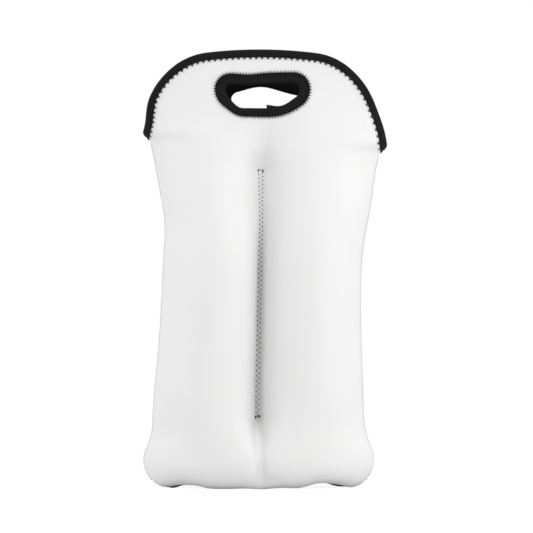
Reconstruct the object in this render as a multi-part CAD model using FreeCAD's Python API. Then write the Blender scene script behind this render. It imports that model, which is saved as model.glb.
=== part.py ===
import FreeCAD
import Part
import math
import os

# Two-bottle carrier sewn from bonded neoprene sheet. Millimetres, +Z up, front panel
# towards -Y, origin on the table under the middle of the base.

Vector = FreeCAD.Vector

# Sheet: a knitted face, a foam core and a knitted lining, glued together
FACE_KNIT = 0.5
FOAM_CORE = 2.0
LINING_KNIT = 0.5
GLUE_LINE = 0.04
SHEET = FACE_KNIT + FOAM_CORE + LINING_KNIT

# Outline from the front: half widths of the side seams at their heights
FOOT_HEIGHT = 25.0
FOOT_HALF_WIDTH = 105.5
ANKLE_HEIGHT = 58.0
ANKLE_HALF_WIDTH = 98.6
WAIST_HEIGHT = 195.0
WAIST_HALF_WIDTH = 90.4
SEAM_TOP_HEIGHT = 311.0
SEAM_TOP_HALF_WIDTH = 103.6

# Depth of the bag: each bottle lobe, the mouth at the seam tops, the top of the handles
LOBE_HALF_DEPTH = 42.0
MOUTH_LOBE_HALF_DEPTH = 28.0
MOUTH_HALF_DEPTH = 30.0
SLOT_HALF_DEPTH = 23.0
TOP_HALF_DEPTH = 18.0
FOOT_MIDDLE_HALF_DEPTH = 56.0
SEAM_GAP = 0.3
MOUTH_FLARE_DEG = 8.0

# Section shape: how far it is parted into two lobes, and how round it is, from 0 to 1
FOOT_LOBED_SHARE = 0.3
SEAM_TOP_LOBED_SHARE = 0.55
SLOT_LOBED_SHARE = 0.15
FOOT_ROUNDNESS = 0.6
WAIST_ROUNDNESS = 0.65
SEAM_TOP_ROUNDNESS = 0.4
SLOT_ROUNDNESS = 0.15
TOP_ROUNDNESS = 0.1

# Base: an oval of the same sheet let into the bottom edge of the panels
BASE_END_INSET = 25.5
BASE_EDGE_INSET = 11.0
BASE_GAP = 0.15

# Centre seam that parts the two bottles
DIVIDER_BOTTOM_HEIGHT = 63.5
DIVIDER_TOP_DROP = 19.0
VALLEY_SOFTNESS = 0.06

# Handles: the domed tops of the panels, and the strip where each one bends
HANDLE_RISE = 90.0
MOUTH_END_HALF_WIDTH = 111.5
SHOULDER_HALF_WIDTH = 92.5
SHOULDER_DROP = 2.5
SHOULDER_RADIUS = 55.0
CROWN_RADIUS = 600.0
DOME_RUN_DOWN = 60.0
FOLD_BELOW = 7.0
FOLD_ABOVE = 11.0
FOLD_GAP = 0.1

# Hand slot: the opening left inside its tape
SLOT_TOP_DROP = 32.4
SLOT_HEIGHT = 21.3
SLOT_HALF_WIDTH = 34.0
SLOT_SIDE_HEIGHT = 8.5
SLOT_UPPER_SHARE = 0.62
SLOT_BOTTOM_HALF_WIDTH = 15.5
SLOT_LOWER_RADIUS = 22.0
FILLET_USE = 0.95

# Binding tape folded over the raw edges
TAPE_THICKNESS = 0.8
TAPE_CLEARANCE = 0.15
MOUTH_TAPE_WIDTH = 7.3
SLOT_TAPE_WIDTH = 9.4
MOUTH_TAPE_START = 2.0

# Threads: width, height and pitch of the zigzags
THREAD_HALF_WIDTH = 0.6
THREAD_HEIGHT = 0.4
THREAD_CLEARANCE = 0.05
MOUTH_STITCH_WIDTH = 4.4
MOUTH_STITCH_PITCH = 5.8
MOUTH_STITCH_OVERHANG = 0.9
SLOT_STITCH_WIDTH = 5.0
SLOT_STITCH_PITCH = 2.4
SLOT_STITCH_OVERHANG = 0.3
DIVIDER_STITCH_WIDTH = 4.4
DIVIDER_STITCH_PITCH = 4.2
BARTACK_LENGTH = 3.0
BARTACK_GAP = 0.3
SIDE_STITCH_WIDTH = 4.6
SIDE_STITCH_PITCH = 2.7
SIDE_STITCH_START = 12.0
BASE_STITCH_WIDTH = 3.0
BASE_STITCH_PITCH = 4.0
BASE_STITCH_INSET = 2.5

# How finely the formula surfaces are sampled
COLUMNS = 41
COLUMN_CROWDING = 1.5
ROW_STEP = 10.0
FOLD_STEP = 2.0
FOOT_ROWS = 8
NUDGE = 0.001
REACH = 120.0
CORE_OVERRUN = 0.03

# Heights that follow from the sizes above
TOP_HEIGHT = SEAM_TOP_HEIGHT + HANDLE_RISE
DIVIDER_TOP_HEIGHT = SEAM_TOP_HEIGHT - DIVIDER_TOP_DROP
FOLD_LOW = SEAM_TOP_HEIGHT - FOLD_BELOW
BODY_HIGH = FOLD_LOW - FOLD_GAP
FOLD_HIGH = SEAM_TOP_HEIGHT + FOLD_ABOVE
SLOT_TOP_HEIGHT = TOP_HEIGHT - SLOT_TOP_DROP
SLOT_BOTTOM_HEIGHT = SLOT_TOP_HEIGHT - SLOT_HEIGHT
SHEET_TOP = TOP_HEIGHT + SHEET
SEWN_HALF_DEPTH = SHEET + SEAM_GAP / 2
FOOT_CENTRE_HALF_DEPTH = (
    FOOT_LOBED_SHARE * SEWN_HALF_DEPTH + (1 - FOOT_LOBED_SHARE) * FOOT_MIDDLE_HALF_DEPTH
)
BASE_HALF_LENGTH = FOOT_HALF_WIDTH - BASE_END_INSET
BASE_HALF_DEPTH = FOOT_CENTRE_HALF_DEPTH - BASE_EDGE_INSET
TAPE_FACE = TAPE_CLEARANCE + TAPE_THICKNESS
TAPE_LOW = SEAM_TOP_HEIGHT + MOUTH_TAPE_START

# Layers of the sheet as (name, outer depth, inner depth) below its outer face
LAYERS = (
    ("face", 0.0, FACE_KNIT),
    ("foam", FACE_KNIT + GLUE_LINE, FACE_KNIT + FOAM_CORE),
    ("lining", FACE_KNIT + FOAM_CORE + GLUE_LINE, SHEET),
)

# How the section changes with height, as stations of (height, value)
HALF_WIDTHS = (
    (FOOT_HEIGHT, FOOT_HALF_WIDTH),
    (ANKLE_HEIGHT, ANKLE_HALF_WIDTH),
    (WAIST_HEIGHT, WAIST_HALF_WIDTH),
    (SEAM_TOP_HEIGHT, SEAM_TOP_HALF_WIDTH),
    (FOLD_HIGH, MOUTH_END_HALF_WIDTH + SHEET),
)
LOBE_DEPTHS = (
    (FOOT_HEIGHT, LOBE_HALF_DEPTH),
    (WAIST_HEIGHT, LOBE_HALF_DEPTH),
    (SEAM_TOP_HEIGHT, MOUTH_LOBE_HALF_DEPTH),
    (TOP_HEIGHT, TOP_HALF_DEPTH),
)
MIDDLE_DEPTHS = (
    (FOOT_HEIGHT, FOOT_MIDDLE_HALF_DEPTH),
    (DIVIDER_BOTTOM_HEIGHT, LOBE_HALF_DEPTH),
    (SEAM_TOP_HEIGHT, MOUTH_HALF_DEPTH),
    (SLOT_BOTTOM_HEIGHT, SLOT_HALF_DEPTH),
    (TOP_HEIGHT, TOP_HALF_DEPTH),
)
LOBED_SHARES = (
    (FOOT_HEIGHT, FOOT_LOBED_SHARE),
    (DIVIDER_BOTTOM_HEIGHT, 1.0),
    (DIVIDER_TOP_HEIGHT, 1.0),
    (SEAM_TOP_HEIGHT, SEAM_TOP_LOBED_SHARE),
    (SLOT_BOTTOM_HEIGHT, SLOT_LOBED_SHARE),
    (TOP_HEIGHT, 0.0),
)
ROUNDNESS = (
    (FOOT_HEIGHT, FOOT_ROUNDNESS),
    (WAIST_HEIGHT, WAIST_ROUNDNESS),
    (SEAM_TOP_HEIGHT, SEAM_TOP_ROUNDNESS),
    (SLOT_BOTTOM_HEIGHT, SLOT_ROUNDNESS),
    (TOP_HEIGHT, TOP_ROUNDNESS),
)


def along(stations, height):
    """Value at a height: a monotone cubic through the stations, level beyond both ends."""
    if height <= stations[0][0]:
        return stations[0][1]
    if height >= stations[-1][0]:
        return stations[-1][1]
    gaps = [b[0] - a[0] for a, b in zip(stations, stations[1:])]
    rises = [(b[1] - a[1]) / gap for a, b, gap in zip(stations, stations[1:], gaps)]
    slopes = [0.0]
    for before, after in zip(rises, rises[1:]):
        same_way = before * after > 0
        slopes.append(2 * before * after / (before + after) if same_way else 0.0)
    slopes.append(0.0)
    i = max(k for k in range(len(gaps)) if stations[k][0] <= height)
    s = (height - stations[i][0]) / gaps[i]
    start = stations[i][1] * (1 + 2 * s) * (1 - s) ** 2 + stations[i + 1][1] * s * s * (3 - 2 * s)
    return start + gaps[i] * s * (1 - s) * (slopes[i] * (1 - s) - slopes[i + 1] * s)


def ease(low, high, value):
    """Smooth step from 0 at low to 1 at high."""
    s = min(1.0, max(0.0, (value - low) / (high - low)))
    return s * s * (3 - 2 * s)


def swell_depth(height):
    """How far a lobe stands out from the sewn centre line."""
    return (along(LOBE_DEPTHS, height) - SEWN_HALF_DEPTH) * (1 + 4 * VALLEY_SOFTNESS**2)


def edge_depth(height):
    """Half depth of the outer face at the side edge: linings meet at the seam, part above it."""
    share = along(LOBED_SHARES, height)
    across = along(HALF_WIDTHS, height) * (1 - along(ROUNDNESS, height))
    lobed_drop = math.pi * swell_depth(height) + 2 * SEWN_HALF_DEPTH
    drop = share * lobed_drop + (1 - share) * 2 * along(MIDDLE_DEPTHS, height)
    facing = across / math.hypot(across, drop)
    tape = TAPE_FACE * ease(DIVIDER_TOP_HEIGHT, SEAM_TOP_HEIGHT, height)
    above = max(0.0, height - SEAM_TOP_HEIGHT)
    return SEAM_GAP / 2 + SHEET * facing + tape + above * math.tan(math.radians(MOUTH_FLARE_DEG))


def wall_point(t, height):
    """Outer face above the foot: t runs from -1 at one side seam to 1 at the other."""
    a = abs(t)
    edge = edge_depth(height)
    round_share = along(ROUNDNESS, height)
    across = (1 - round_share) * a + round_share * (1 - math.cos(math.pi * a)) / 2
    swell = math.sin(math.pi * a) * a * a / (a * a + VALLEY_SOFTNESS**2)
    lobed = SEWN_HALF_DEPTH + (edge - SEWN_HALF_DEPTH) * a * a + swell_depth(height) * swell
    single = edge + (along(MIDDLE_DEPTHS, height) - edge) * (1 - a * a)
    share = along(LOBED_SHARES, height)
    x = along(HALF_WIDTHS, height) * across
    return Vector(math.copysign(x, t), -(share * lobed + (1 - share) * single), height)


def outer_point(t, height):
    """Outer face of the front panel; below the foot it rolls under to the base oval."""
    if height >= FOOT_HEIGHT:
        return wall_point(t, height)
    roll = math.pi / 2 * height / FOOT_HEIGHT
    foot = wall_point(t, FOOT_HEIGHT)
    angle = t * math.pi / 2
    base_x = BASE_HALF_LENGTH * math.sin(angle)
    base_y = -BASE_HALF_DEPTH * math.cos(angle) - SEAM_GAP / 2
    out = math.sin(roll)
    return Vector(
        base_x + (foot.x - base_x) * out,
        base_y + (foot.y - base_y) * out,
        FOOT_HEIGHT * (1 - math.cos(roll)),
    )


def sheet_point(t, height, depth):
    """Point at a depth below the outer face, along the face's own inward normal."""
    across = outer_point(t + NUDGE, height) - outer_point(t - NUDGE, height)
    up = outer_point(t, height + NUDGE) - outer_point(t, max(0.0, height - NUDGE))
    inward = up.cross(across).normalize()
    return outer_point(t, height) + inward * depth


def rows_between(low, high):
    """Row heights from low to high: close together round the foot and the fold."""
    stretches = (
        (0.0, FOOT_HEIGHT, FOOT_HEIGHT / FOOT_ROWS),
        (FOOT_HEIGHT, FOLD_LOW, ROW_STEP),
        (FOLD_LOW, FOLD_HIGH, FOLD_STEP),
        (FOLD_HIGH, TOP_HEIGHT + REACH, ROW_STEP),
    )
    rows = [low]
    for start, end, step in stretches:
        first = max(low, start)
        last = min(high, end)
        count = max(1, round((last - first) / step))
        rows += [first + (last - first) * (k + 1) / count for k in range(count) if last > first]
    return rows


def columns():
    """Column positions from -1 to 1, crowded towards the centre seam."""
    even = [2 * k / (COLUMNS - 1) - 1 for k in range(COLUMNS)]
    return [math.copysign(abs(v) ** COLUMN_CROWDING, v) for v in even]


def solid_between(front_grid, back_grid):
    """Solid between two point grids: two smooth faces joined by ruled faces round the rim."""
    surfaces = []
    for grid in (front_grid, back_grid):
        surface = Part.BSplineSurface()
        surface.interpolate(grid)
        surfaces.append(surface)
    faces = [surface.toShape() for surface in surfaces]
    u_low, u_high, v_low, v_high = surfaces[0].bounds()
    second = surfaces[1].bounds()
    pairs = (
        (surfaces[0].uIso(u_low), surfaces[1].uIso(second[0])),
        (surfaces[0].uIso(u_high), surfaces[1].uIso(second[1])),
        (surfaces[0].vIso(v_low), surfaces[1].vIso(second[2])),
        (surfaces[0].vIso(v_high), surfaces[1].vIso(second[3])),
    )
    faces += [Part.makeRuledSurface(a.toShape(), b.toShape()) for a, b in pairs]
    shell = Part.makeShell(faces)
    shell.sewShape()
    solid = Part.makeSolid(shell)
    if solid.Volume < 0:
        solid.reverse()
    return solid


def sheet_solid(low, high, outer_depth, inner_depth, overrun=0.0):
    """Layer of the front panel between two heights and two depths below the outer face."""
    rows = rows_between(low, high)
    across = [t * (1 + overrun) for t in columns()]
    grids = [
        [[sheet_point(t, height, depth) for t in across] for height in rows]
        for depth in (outer_depth, inner_depth)
    ]
    return solid_between(*grids)


def rounded_outline(corners):
    """Closed wire in the XZ plane through corners (x, z, radius), each rounded by an arc."""
    starts, middles, ends = [], [], []
    for k, (x, z, radius) in enumerate(corners):
        corner = Vector(x, 0, z)
        before = (Vector(corners[k - 1][0], 0, corners[k - 1][1]) - corner).normalize()
        after_x, after_z, _ = corners[(k + 1) % len(corners)]
        after = (Vector(after_x, 0, after_z) - corner).normalize()
        half = before.getAngle(after) / 2
        inward = (before + after).normalize()
        starts.append(corner + before * (radius / math.tan(half)))
        ends.append(corner + after * (radius / math.tan(half)))
        middles.append(corner + inward * (radius / math.sin(half) - radius))
    edges = []
    for k in range(len(corners)):
        if corners[k][2] > 0:
            edges.append(Part.Arc(starts[k], middles[k], ends[k]).toShape())
        edges.append(Part.makeLine(ends[k], starts[(k + 1) % len(corners)]))
    return Part.Wire(edges)


def mouth_outline(inset):
    """Dome of the handle, inset from the outer edge of its tape and run down past the fold."""
    slope = (MOUTH_END_HALF_WIDTH - SHOULDER_HALF_WIDTH) / (HANDLE_RISE - SHOULDER_DROP)
    low = SEAM_TOP_HEIGHT - DOME_RUN_DOWN
    low_half_width = MOUTH_END_HALF_WIDTH + slope * DOME_RUN_DOWN
    crown_tilt = math.atan2(SHOULDER_DROP, SHOULDER_HALF_WIDTH)
    peak = TOP_HEIGHT + CROWN_RADIUS * (1 / math.cos(crown_tilt) - 1)
    shoulder = TOP_HEIGHT - SHOULDER_DROP
    wire = rounded_outline((
        (low_half_width, low, 0),
        (SHOULDER_HALF_WIDTH, shoulder, SHOULDER_RADIUS),
        (0, peak, CROWN_RADIUS),
        (-SHOULDER_HALF_WIDTH, shoulder, SHOULDER_RADIUS),
        (-low_half_width, low, 0),
    ))
    return wire.makeOffset2D(-inset) if inset else wire


def slot_outline(outset):
    """Hand opening inside its tape, let out by a distance: square above, sloped in below."""
    side_low = SLOT_TOP_HEIGHT - SLOT_SIDE_HEIGHT
    slope = math.atan2(SLOT_HALF_WIDTH - SLOT_BOTTOM_HALF_WIDTH, side_low - SLOT_BOTTOM_HEIGHT)
    upper_radius = SLOT_UPPER_SHARE * SLOT_SIDE_HEIGHT
    spare = SLOT_SIDE_HEIGHT - upper_radius
    side_radius = FILLET_USE * spare / math.tan(slope / 2)
    wire = rounded_outline((
        (SLOT_HALF_WIDTH, SLOT_TOP_HEIGHT, upper_radius),
        (-SLOT_HALF_WIDTH, SLOT_TOP_HEIGHT, upper_radius),
        (-SLOT_HALF_WIDTH, side_low, side_radius),
        (-SLOT_BOTTOM_HALF_WIDTH, SLOT_BOTTOM_HEIGHT, SLOT_LOWER_RADIUS),
        (SLOT_BOTTOM_HALF_WIDTH, SLOT_BOTTOM_HEIGHT, SLOT_LOWER_RADIUS),
        (SLOT_HALF_WIDTH, side_low, side_radius),
    ))
    return wire.makeOffset2D(outset) if outset else wire


def stitch_path(wire, pitch, viewer):
    """Needle points half a pitch apart round a closed wire, each with the viewer's left of travel."""
    count = 2 * round(wire.Length / pitch)
    points = wire.discretize(Number=count + 1)[:-1]
    path = []
    for k, point in enumerate(points):
        travel = points[(k + 1) % count] - points[k - 1]
        path.append((point, viewer.cross(travel).normalize()))
    return path


def zigzag(path, near, far, closed=False):
    """Ribbon face that zigzags between two distances to the left of a path."""
    sides = ([], [])
    for k, (point, left) in enumerate(path):
        low = near if k % 2 else far - 2 * THREAD_HALF_WIDTH
        sides[0].append(point + left * low)
        sides[1].append(point + left * (low + 2 * THREAD_HALF_WIDTH))
    if closed:
        loops = [Part.Face(Part.makePolygon(side + side[:1])) for side in sides]
        loops.sort(key=lambda face: face.Area)
        return loops[1].cut(loops[0]).Faces[0]
    ring = sides[0] + sides[1][::-1]
    return Part.Face(Part.makePolygon(ring + ring[:1]))


def straight_path(low, high, pitch, left):
    """Needle points half a pitch apart up the Z axis."""
    count = 2 * round((high - low) / pitch)
    return [(Vector(0, 0, low + (high - low) * k / count), left) for k in range(count + 1)]


def upright_rectangle(half_width, low, high):
    """Rectangle in the XZ plane between two heights, centred on the Z axis."""
    lower = [Vector(-half_width, 0, low), Vector(half_width, 0, low)]
    upper = [Vector(half_width, 0, high), Vector(-half_width, 0, high)]
    return Part.Face(Part.makePolygon(lower + upper + lower[:1]))


def through_front(face):
    """Prism of a face in the XZ plane, right through the front panel."""
    return face.translated(Vector(0, -REACH, 0)).extrude(Vector(0, REACH, 0))


def outline_prism(wire):
    """Prism of a closed outline, right through the front panel."""
    return through_front(Part.Face(wire))


def panel_layers():
    """Knit, foam and lining of the front panel: body, bending strip and handle."""
    zones = (
        ("body", 0.0, BODY_HIGH),
        ("fold", FOLD_LOW, FOLD_HIGH),
        ("handle", FOLD_HIGH + FOLD_GAP, SHEET_TOP),
    )
    dome = outline_prism(mouth_outline(TAPE_FACE))
    slot = outline_prism(slot_outline(TAPE_FACE))
    nodes = {}
    for zone, low, high in zones:
        for layer, outer_depth, inner_depth in LAYERS:
            solid = sheet_solid(low, high, outer_depth, inner_depth)
            if zone != "body":
                solid = solid.common(dome)
            if zone == "handle":
                solid = solid.cut(slot)
            nodes[f"{zone}_{layer}"] = solid
    return nodes


def bindings():
    """Tapes folded over the mouth edge and the slot edge of the front panel."""
    wrap = sheet_solid(TAPE_LOW, SHEET_TOP, -TAPE_FACE, SHEET + TAPE_FACE)
    core = sheet_solid(
        SEAM_TOP_HEIGHT, TOP_HEIGHT + 2 * SHEET, -TAPE_CLEARANCE, SHEET + TAPE_CLEARANCE, CORE_OVERRUN
    )
    mouth_band = outline_prism(mouth_outline(0)).cut(outline_prism(mouth_outline(MOUTH_TAPE_WIDTH)))
    mouth_core = core.common(outline_prism(mouth_outline(TAPE_THICKNESS)))
    slot_band = outline_prism(slot_outline(SLOT_TAPE_WIDTH)).cut(outline_prism(slot_outline(0)))
    slot_core = core.cut(outline_prism(slot_outline(TAPE_THICKNESS)))
    return {
        "mouth_tape": wrap.common(mouth_band).cut(mouth_core),
        "slot_tape": wrap.common(slot_band).cut(slot_core),
    }


def front_threads():
    """Zigzag threads that lie on the front panel and on its tapes."""
    over_tape = TAPE_FACE + THREAD_CLEARANCE
    tape_skin = sheet_solid(TAPE_LOW, SHEET_TOP, -over_tape - THREAD_HEIGHT, -over_tape)
    viewer = Vector(0, -1, 0)
    mouth_path = [
        needle
        for needle in stitch_path(mouth_outline(MOUTH_TAPE_WIDTH), MOUTH_STITCH_PITCH, viewer)
        if needle[0].z > TAPE_LOW
    ]
    mouth = zigzag(mouth_path, MOUTH_STITCH_OVERHANG - MOUTH_STITCH_WIDTH, MOUTH_STITCH_OVERHANG)
    slot_path = stitch_path(slot_outline(SLOT_TAPE_WIDTH), SLOT_STITCH_PITCH, viewer)
    slot = zigzag(
        slot_path, -SLOT_STITCH_OVERHANG, SLOT_STITCH_WIDTH - SLOT_STITCH_OVERHANG, closed=True
    )
    half = DIVIDER_STITCH_WIDTH / 2
    skin = sheet_solid(0.0, BODY_HIGH, -THREAD_CLEARANCE - THREAD_HEIGHT, -THREAD_CLEARANCE)
    tack_lows = (DIVIDER_BOTTOM_HEIGHT, DIVIDER_TOP_HEIGHT - BARTACK_LENGTH)
    tacks = [upright_rectangle(half, low, low + BARTACK_LENGTH) for low in tack_lows]
    run = straight_path(
        DIVIDER_BOTTOM_HEIGHT + BARTACK_LENGTH + BARTACK_GAP,
        DIVIDER_TOP_HEIGHT - BARTACK_LENGTH - BARTACK_GAP,
        DIVIDER_STITCH_PITCH,
        Vector(-1, 0, 0),
    )
    return {
        "mouth_stitch": tape_skin.common(through_front(mouth)),
        "slot_stitch": tape_skin.common(through_front(slot)),
        "divider_stitch": skin.common(through_front(zigzag(run, -half, half))),
        "divider_bartacks": skin.common(Part.makeCompound([through_front(tack) for tack in tacks])),
    }


def side_thread():
    """Flat zigzag thread down the right side seam, just off the silhouette."""
    half = SIDE_STITCH_WIDTH / 2
    rows = rows_between(SIDE_STITCH_START, BODY_HIGH)
    grids = []
    for height_off in (THREAD_CLEARANCE, THREAD_CLEARANCE + THREAD_HEIGHT):
        grid = []
        for height in rows:
            edge = outer_point(1, height)
            up = outer_point(1, height + NUDGE) - outer_point(1, height - NUDGE)
            out = Vector(up.z, 0, -up.x).normalize() * height_off
            grid.append([Vector(edge.x, y, edge.z) + out for y in (-2 * half, -half, half, 2 * half)])
        grids.append(grid)
    strip = solid_between(*grids)
    low = outer_point(1, SIDE_STITCH_START).z
    run = straight_path(low, BODY_HIGH, SIDE_STITCH_PITCH, Vector(0, 1, 0))
    return strip.common(zigzag(run, -half, half).extrude(Vector(REACH, 0, 0)))


def base_outline(inset, level):
    """Oval of the base at a level, inset from the panels' bottom edge."""
    oval = Part.Ellipse(Vector(0, 0, level), BASE_HALF_LENGTH - inset, BASE_HALF_DEPTH - inset)
    return Part.Wire(oval.toShape())


def base_layers():
    """Base oval: lining on top, foam, and the face on the table."""
    nodes = {}
    for layer, low, high in LAYERS:
        outline = base_outline(BASE_GAP, low)
        nodes[f"base_{layer}"] = Part.Face(outline).extrude(Vector(0, 0, high - low))
    return nodes


def base_thread():
    """Zigzag thread of the base seam, on the lining just inside the oval."""
    outline = base_outline(BASE_STITCH_INSET, SHEET + THREAD_CLEARANCE)
    path = stitch_path(outline, BASE_STITCH_PITCH, Vector(0, 0, 1))
    return zigzag(path, 0.0, BASE_STITCH_WIDTH, closed=True).extrude(Vector(0, 0, THREAD_HEIGHT))


def write(name, shape, pieces=1):
    """Export one node after checking that it came out whole."""
    if len(shape.Solids) != pieces or not shape.isValid():
        raise RuntimeError(f"{name}: {len(shape.Solids)} solids, valid {shape.isValid()}")
    whole = shape.Solids[0] if pieces == 1 else Part.makeCompound(shape.Solids)
    whole.exportStep(f"parts/{name}.step")


def main():
    os.makedirs("parts", exist_ok=True)
    origin = Vector(0, 0, 0)
    for name, shape in {**panel_layers(), **bindings(), **front_threads()}.items():
        pieces = 2 if name == "divider_bartacks" else 1
        write(f"front_{name}", shape, pieces)
        write(f"back_{name}", shape.mirror(origin, Vector(0, 1, 0)), pieces)
    seam = side_thread()
    write("right_side_stitch", seam)
    write("left_side_stitch", seam.mirror(origin, Vector(1, 0, 0)))
    for name, shape in base_layers().items():
        write(name, shape)
    write("base_stitch", base_thread())


if __name__ == "__main__":
    main()
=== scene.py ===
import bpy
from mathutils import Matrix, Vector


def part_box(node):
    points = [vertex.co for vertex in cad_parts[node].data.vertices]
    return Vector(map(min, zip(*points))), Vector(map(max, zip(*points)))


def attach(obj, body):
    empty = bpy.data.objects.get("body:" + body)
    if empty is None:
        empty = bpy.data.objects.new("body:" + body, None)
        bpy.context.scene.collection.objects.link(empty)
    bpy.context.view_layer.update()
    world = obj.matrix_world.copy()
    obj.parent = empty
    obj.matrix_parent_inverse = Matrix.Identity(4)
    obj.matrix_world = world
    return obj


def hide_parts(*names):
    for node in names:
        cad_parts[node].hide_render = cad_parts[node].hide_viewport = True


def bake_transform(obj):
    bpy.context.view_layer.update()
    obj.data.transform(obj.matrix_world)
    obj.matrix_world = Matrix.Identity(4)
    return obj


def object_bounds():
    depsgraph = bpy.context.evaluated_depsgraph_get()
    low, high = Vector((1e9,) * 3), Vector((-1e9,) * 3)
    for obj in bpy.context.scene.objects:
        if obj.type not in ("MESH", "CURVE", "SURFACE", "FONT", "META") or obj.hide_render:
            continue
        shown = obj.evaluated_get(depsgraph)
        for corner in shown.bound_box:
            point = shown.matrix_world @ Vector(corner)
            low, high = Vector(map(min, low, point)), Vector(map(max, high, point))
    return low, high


bl_info = {
    "name": "Two-bottle carrier",
    "version": (1, 0, 0),
    "blender": (4, 5, 0),
    "location": "View3D > Sidebar > Carrier",
    "description": "Dresses the carrier's CAD frame in knit panels, bound edges and stitched seams",
    "category": "Add Mesh",
}

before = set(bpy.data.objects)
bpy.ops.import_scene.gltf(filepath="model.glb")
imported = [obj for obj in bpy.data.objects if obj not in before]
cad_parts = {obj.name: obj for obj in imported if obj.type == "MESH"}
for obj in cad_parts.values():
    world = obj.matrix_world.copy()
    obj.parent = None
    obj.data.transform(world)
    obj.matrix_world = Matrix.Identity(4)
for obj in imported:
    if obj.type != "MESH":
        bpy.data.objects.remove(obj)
CAD_BOX = [list(corner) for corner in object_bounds()]

import math
from types import SimpleNamespace

import bpy
import numpy as np
from bpy.props import FloatProperty, FloatVectorProperty, PointerProperty
from bpy.types import NodeSocket, Operator, Panel, PropertyGroup
from mathutils import Vector

# Metres, +Z up, front panel towards -Y, origin on the table under the middle of the base.

BODY = "bottle_body"
SIDES = ("front", "back")
ZONES = ("body", "fold", "handle")
TOP_HEIGHT = CAD_BOX[1][2]
FOLD_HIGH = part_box("front_fold_face")[1][2]
BASE_HALF_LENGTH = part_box("base_face")[1][0]
BASE_HALF_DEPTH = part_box("base_face")[1][1]

# How finely the surfaces are sampled and shaded
COLUMNS = 161
COLUMN_CROWDING = 1.4
ROW_STEP = 0.0026
FOOT_ROWS = 14
DOME_STEPS = 190
HANDLE_RINGS = 18
ARC_STEPS = 24
NEWTON_STEPS = 8
TAPE_STEP = 0.0008
THREAD_SIDES = 6
STITCH_STEPS = 6
TACK_STEPS = 25
SLOT_STEPS = 241
LAP_SEARCH_STEPS = 400
TAPE_FOLD_POINTS = 9
TAPE_FLANGE_POINTS = 5
PLUG_SIDES = 8
BASE_ROWS = 33
BASE_OVAL_POINTS = 361
NUDGE = 0.0002
PATH_NUDGE = 0.0008
SHARP_EDGE = math.radians(55)
CLOTH_UV = "cloth"

# Where the white wraps over the side edge and the base turns up, as shares of the half girth
WRAP_START = 0.955
WRAP_END = 0.982
TURN_UP_START = 0.60
TURN_UP_END = 0.97

# Thickness of the sheet over the gap between its white layer and its lining
SHEET_OVER_GAP = 75

# Where the stance takes hold: on the base by its oval measure, on the sides by the distance from the middle
HEM_RIM = 0.5
SIDE_STANCE_INNER = 0.040
SIDE_STANCE_OUTER = 0.090

# Share of a crease's length that keeps one depth at each end
CREASE_END_SHARE = 0.05

# Share of the tape's thickness taken off its cut edge, and how far in from the fold its ribs start
TAPE_SHOULDER = 0.4
RIB_START = 0.0005

# Where the slot tape climbs over its own start, how high in tapes, and where a stitch steps off a tape
LAP_RISE_BEFORE = 0.004
LAP_RISE_AFTER = 0.001
LAP_TAPES = 1.15
TAPE_EDGE_EASE = 0.0006

# Power of a stitch's bow, and lifts off the cloth in thread radii: at a needle point, and further between two
STITCH_BOW_POWER = 0.6
BINDING_LIFT = (0.3, 1.2)
CENTRE_LIFT = (-0.5, 1.8)
SIDE_LIFT = (0.2, 1.2)
BASE_LIFT = (-0.4, 1.6)

# Ends of the seams, tails of a bartack in half widths, and the plugs of painted shade in needle holes
CENTRE_WIDENING_REACH = 0.045
SIDE_SEAM_END = 0.002
TACK_TAILS = (1.3, 1.1)
HOLE_DEPTH = 0.0004
HOLE_PROUD = 0.00015
PLUG_TOP_SHARE = 0.85

# Pitches of the finishes in metres, grain per metre, and how they take light
LOOP_WIDTH = 0.0009
LOOP_HEIGHT = 0.0007
TAPE_RIB_PITCH = 0.0011
TAPE_YARN_PITCH = 0.0008
THREAD_TURN_LENGTH = 0.0011
FUZZ_PER_METRE = 1400.0
SPECULAR_LEVEL = 0.13
SHEEN_ROUGHNESS = 0.6
PANEL_SHEEN = 0.05
LOW_SHEEN = 0.02

# Painted shade of a thread's grooves beside its ridges, and of the lighter patches in the painted shade of a
# needle hole
GROOVE_SHADE = 0.55
HOLE_PATCH_SHADE = 2.2

# Studio: strengths of the light and of the floor's glow, the floor and the camera
WHITE = (1.0, 1.0, 1.0, 1.0)
SOFT_LIGHT = 0.56
FLOOR_GLOW = 1.09
FLOOR_GLOW_SHARE = 0.84
FLOOR_HALF_SIZE = 3.0
CAMERA_DISTANCE = 3.0
CAMERA_AIM = (0.0043, -0.03, 0.2027)
CAMERA_REACH = 20.0
SENSOR_WIDTH = 36.0
VIEW_WIDTH = 0.4845

# Large soft lamps, as (name, place, size, power), and the point that they face
LAMPS = (
    ("key", (1.00, -1.55, 1.2), 0.8, 12.0),
    ("fill", (-0.9, -1.8, 0.6), 1.4, 3.6),
    ("left_side", (-1.7, 0.05, 0.55), 0.9, 8.5),
    ("right_side", (1.7, -0.30, 0.5), 0.9, 6.0),
    ("overhead", (0.1, -0.3, 1.7), 1.2, 4.0),
    ("rear", (-0.5, 1.9, 0.7), 1.4, 9.0),
)
LAMP_AIM = (0.0, 0.0, 0.2)


def length(name, description, default):
    """Property for a size in metres."""
    return FloatProperty(
        name=name, description=description, default=default, precision=5, unit="LENGTH", subtype="DISTANCE"
    )


def share(name, description, default):
    """Property for a share or a ratio."""
    return FloatProperty(name=name, description=description, default=default, precision=4, subtype="FACTOR")


def angle(name, description, default):
    """Property for an angle in radians."""
    return FloatProperty(
        name=name, description=description, default=default, unit="ROTATION", subtype="ANGLE"
    )


def colour(name, description, default):
    """Property for a plain colour."""
    return FloatVectorProperty(
        name=name, description=description, default=default, size=3, min=0.0, max=1.0, subtype="COLOR"
    )


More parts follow.
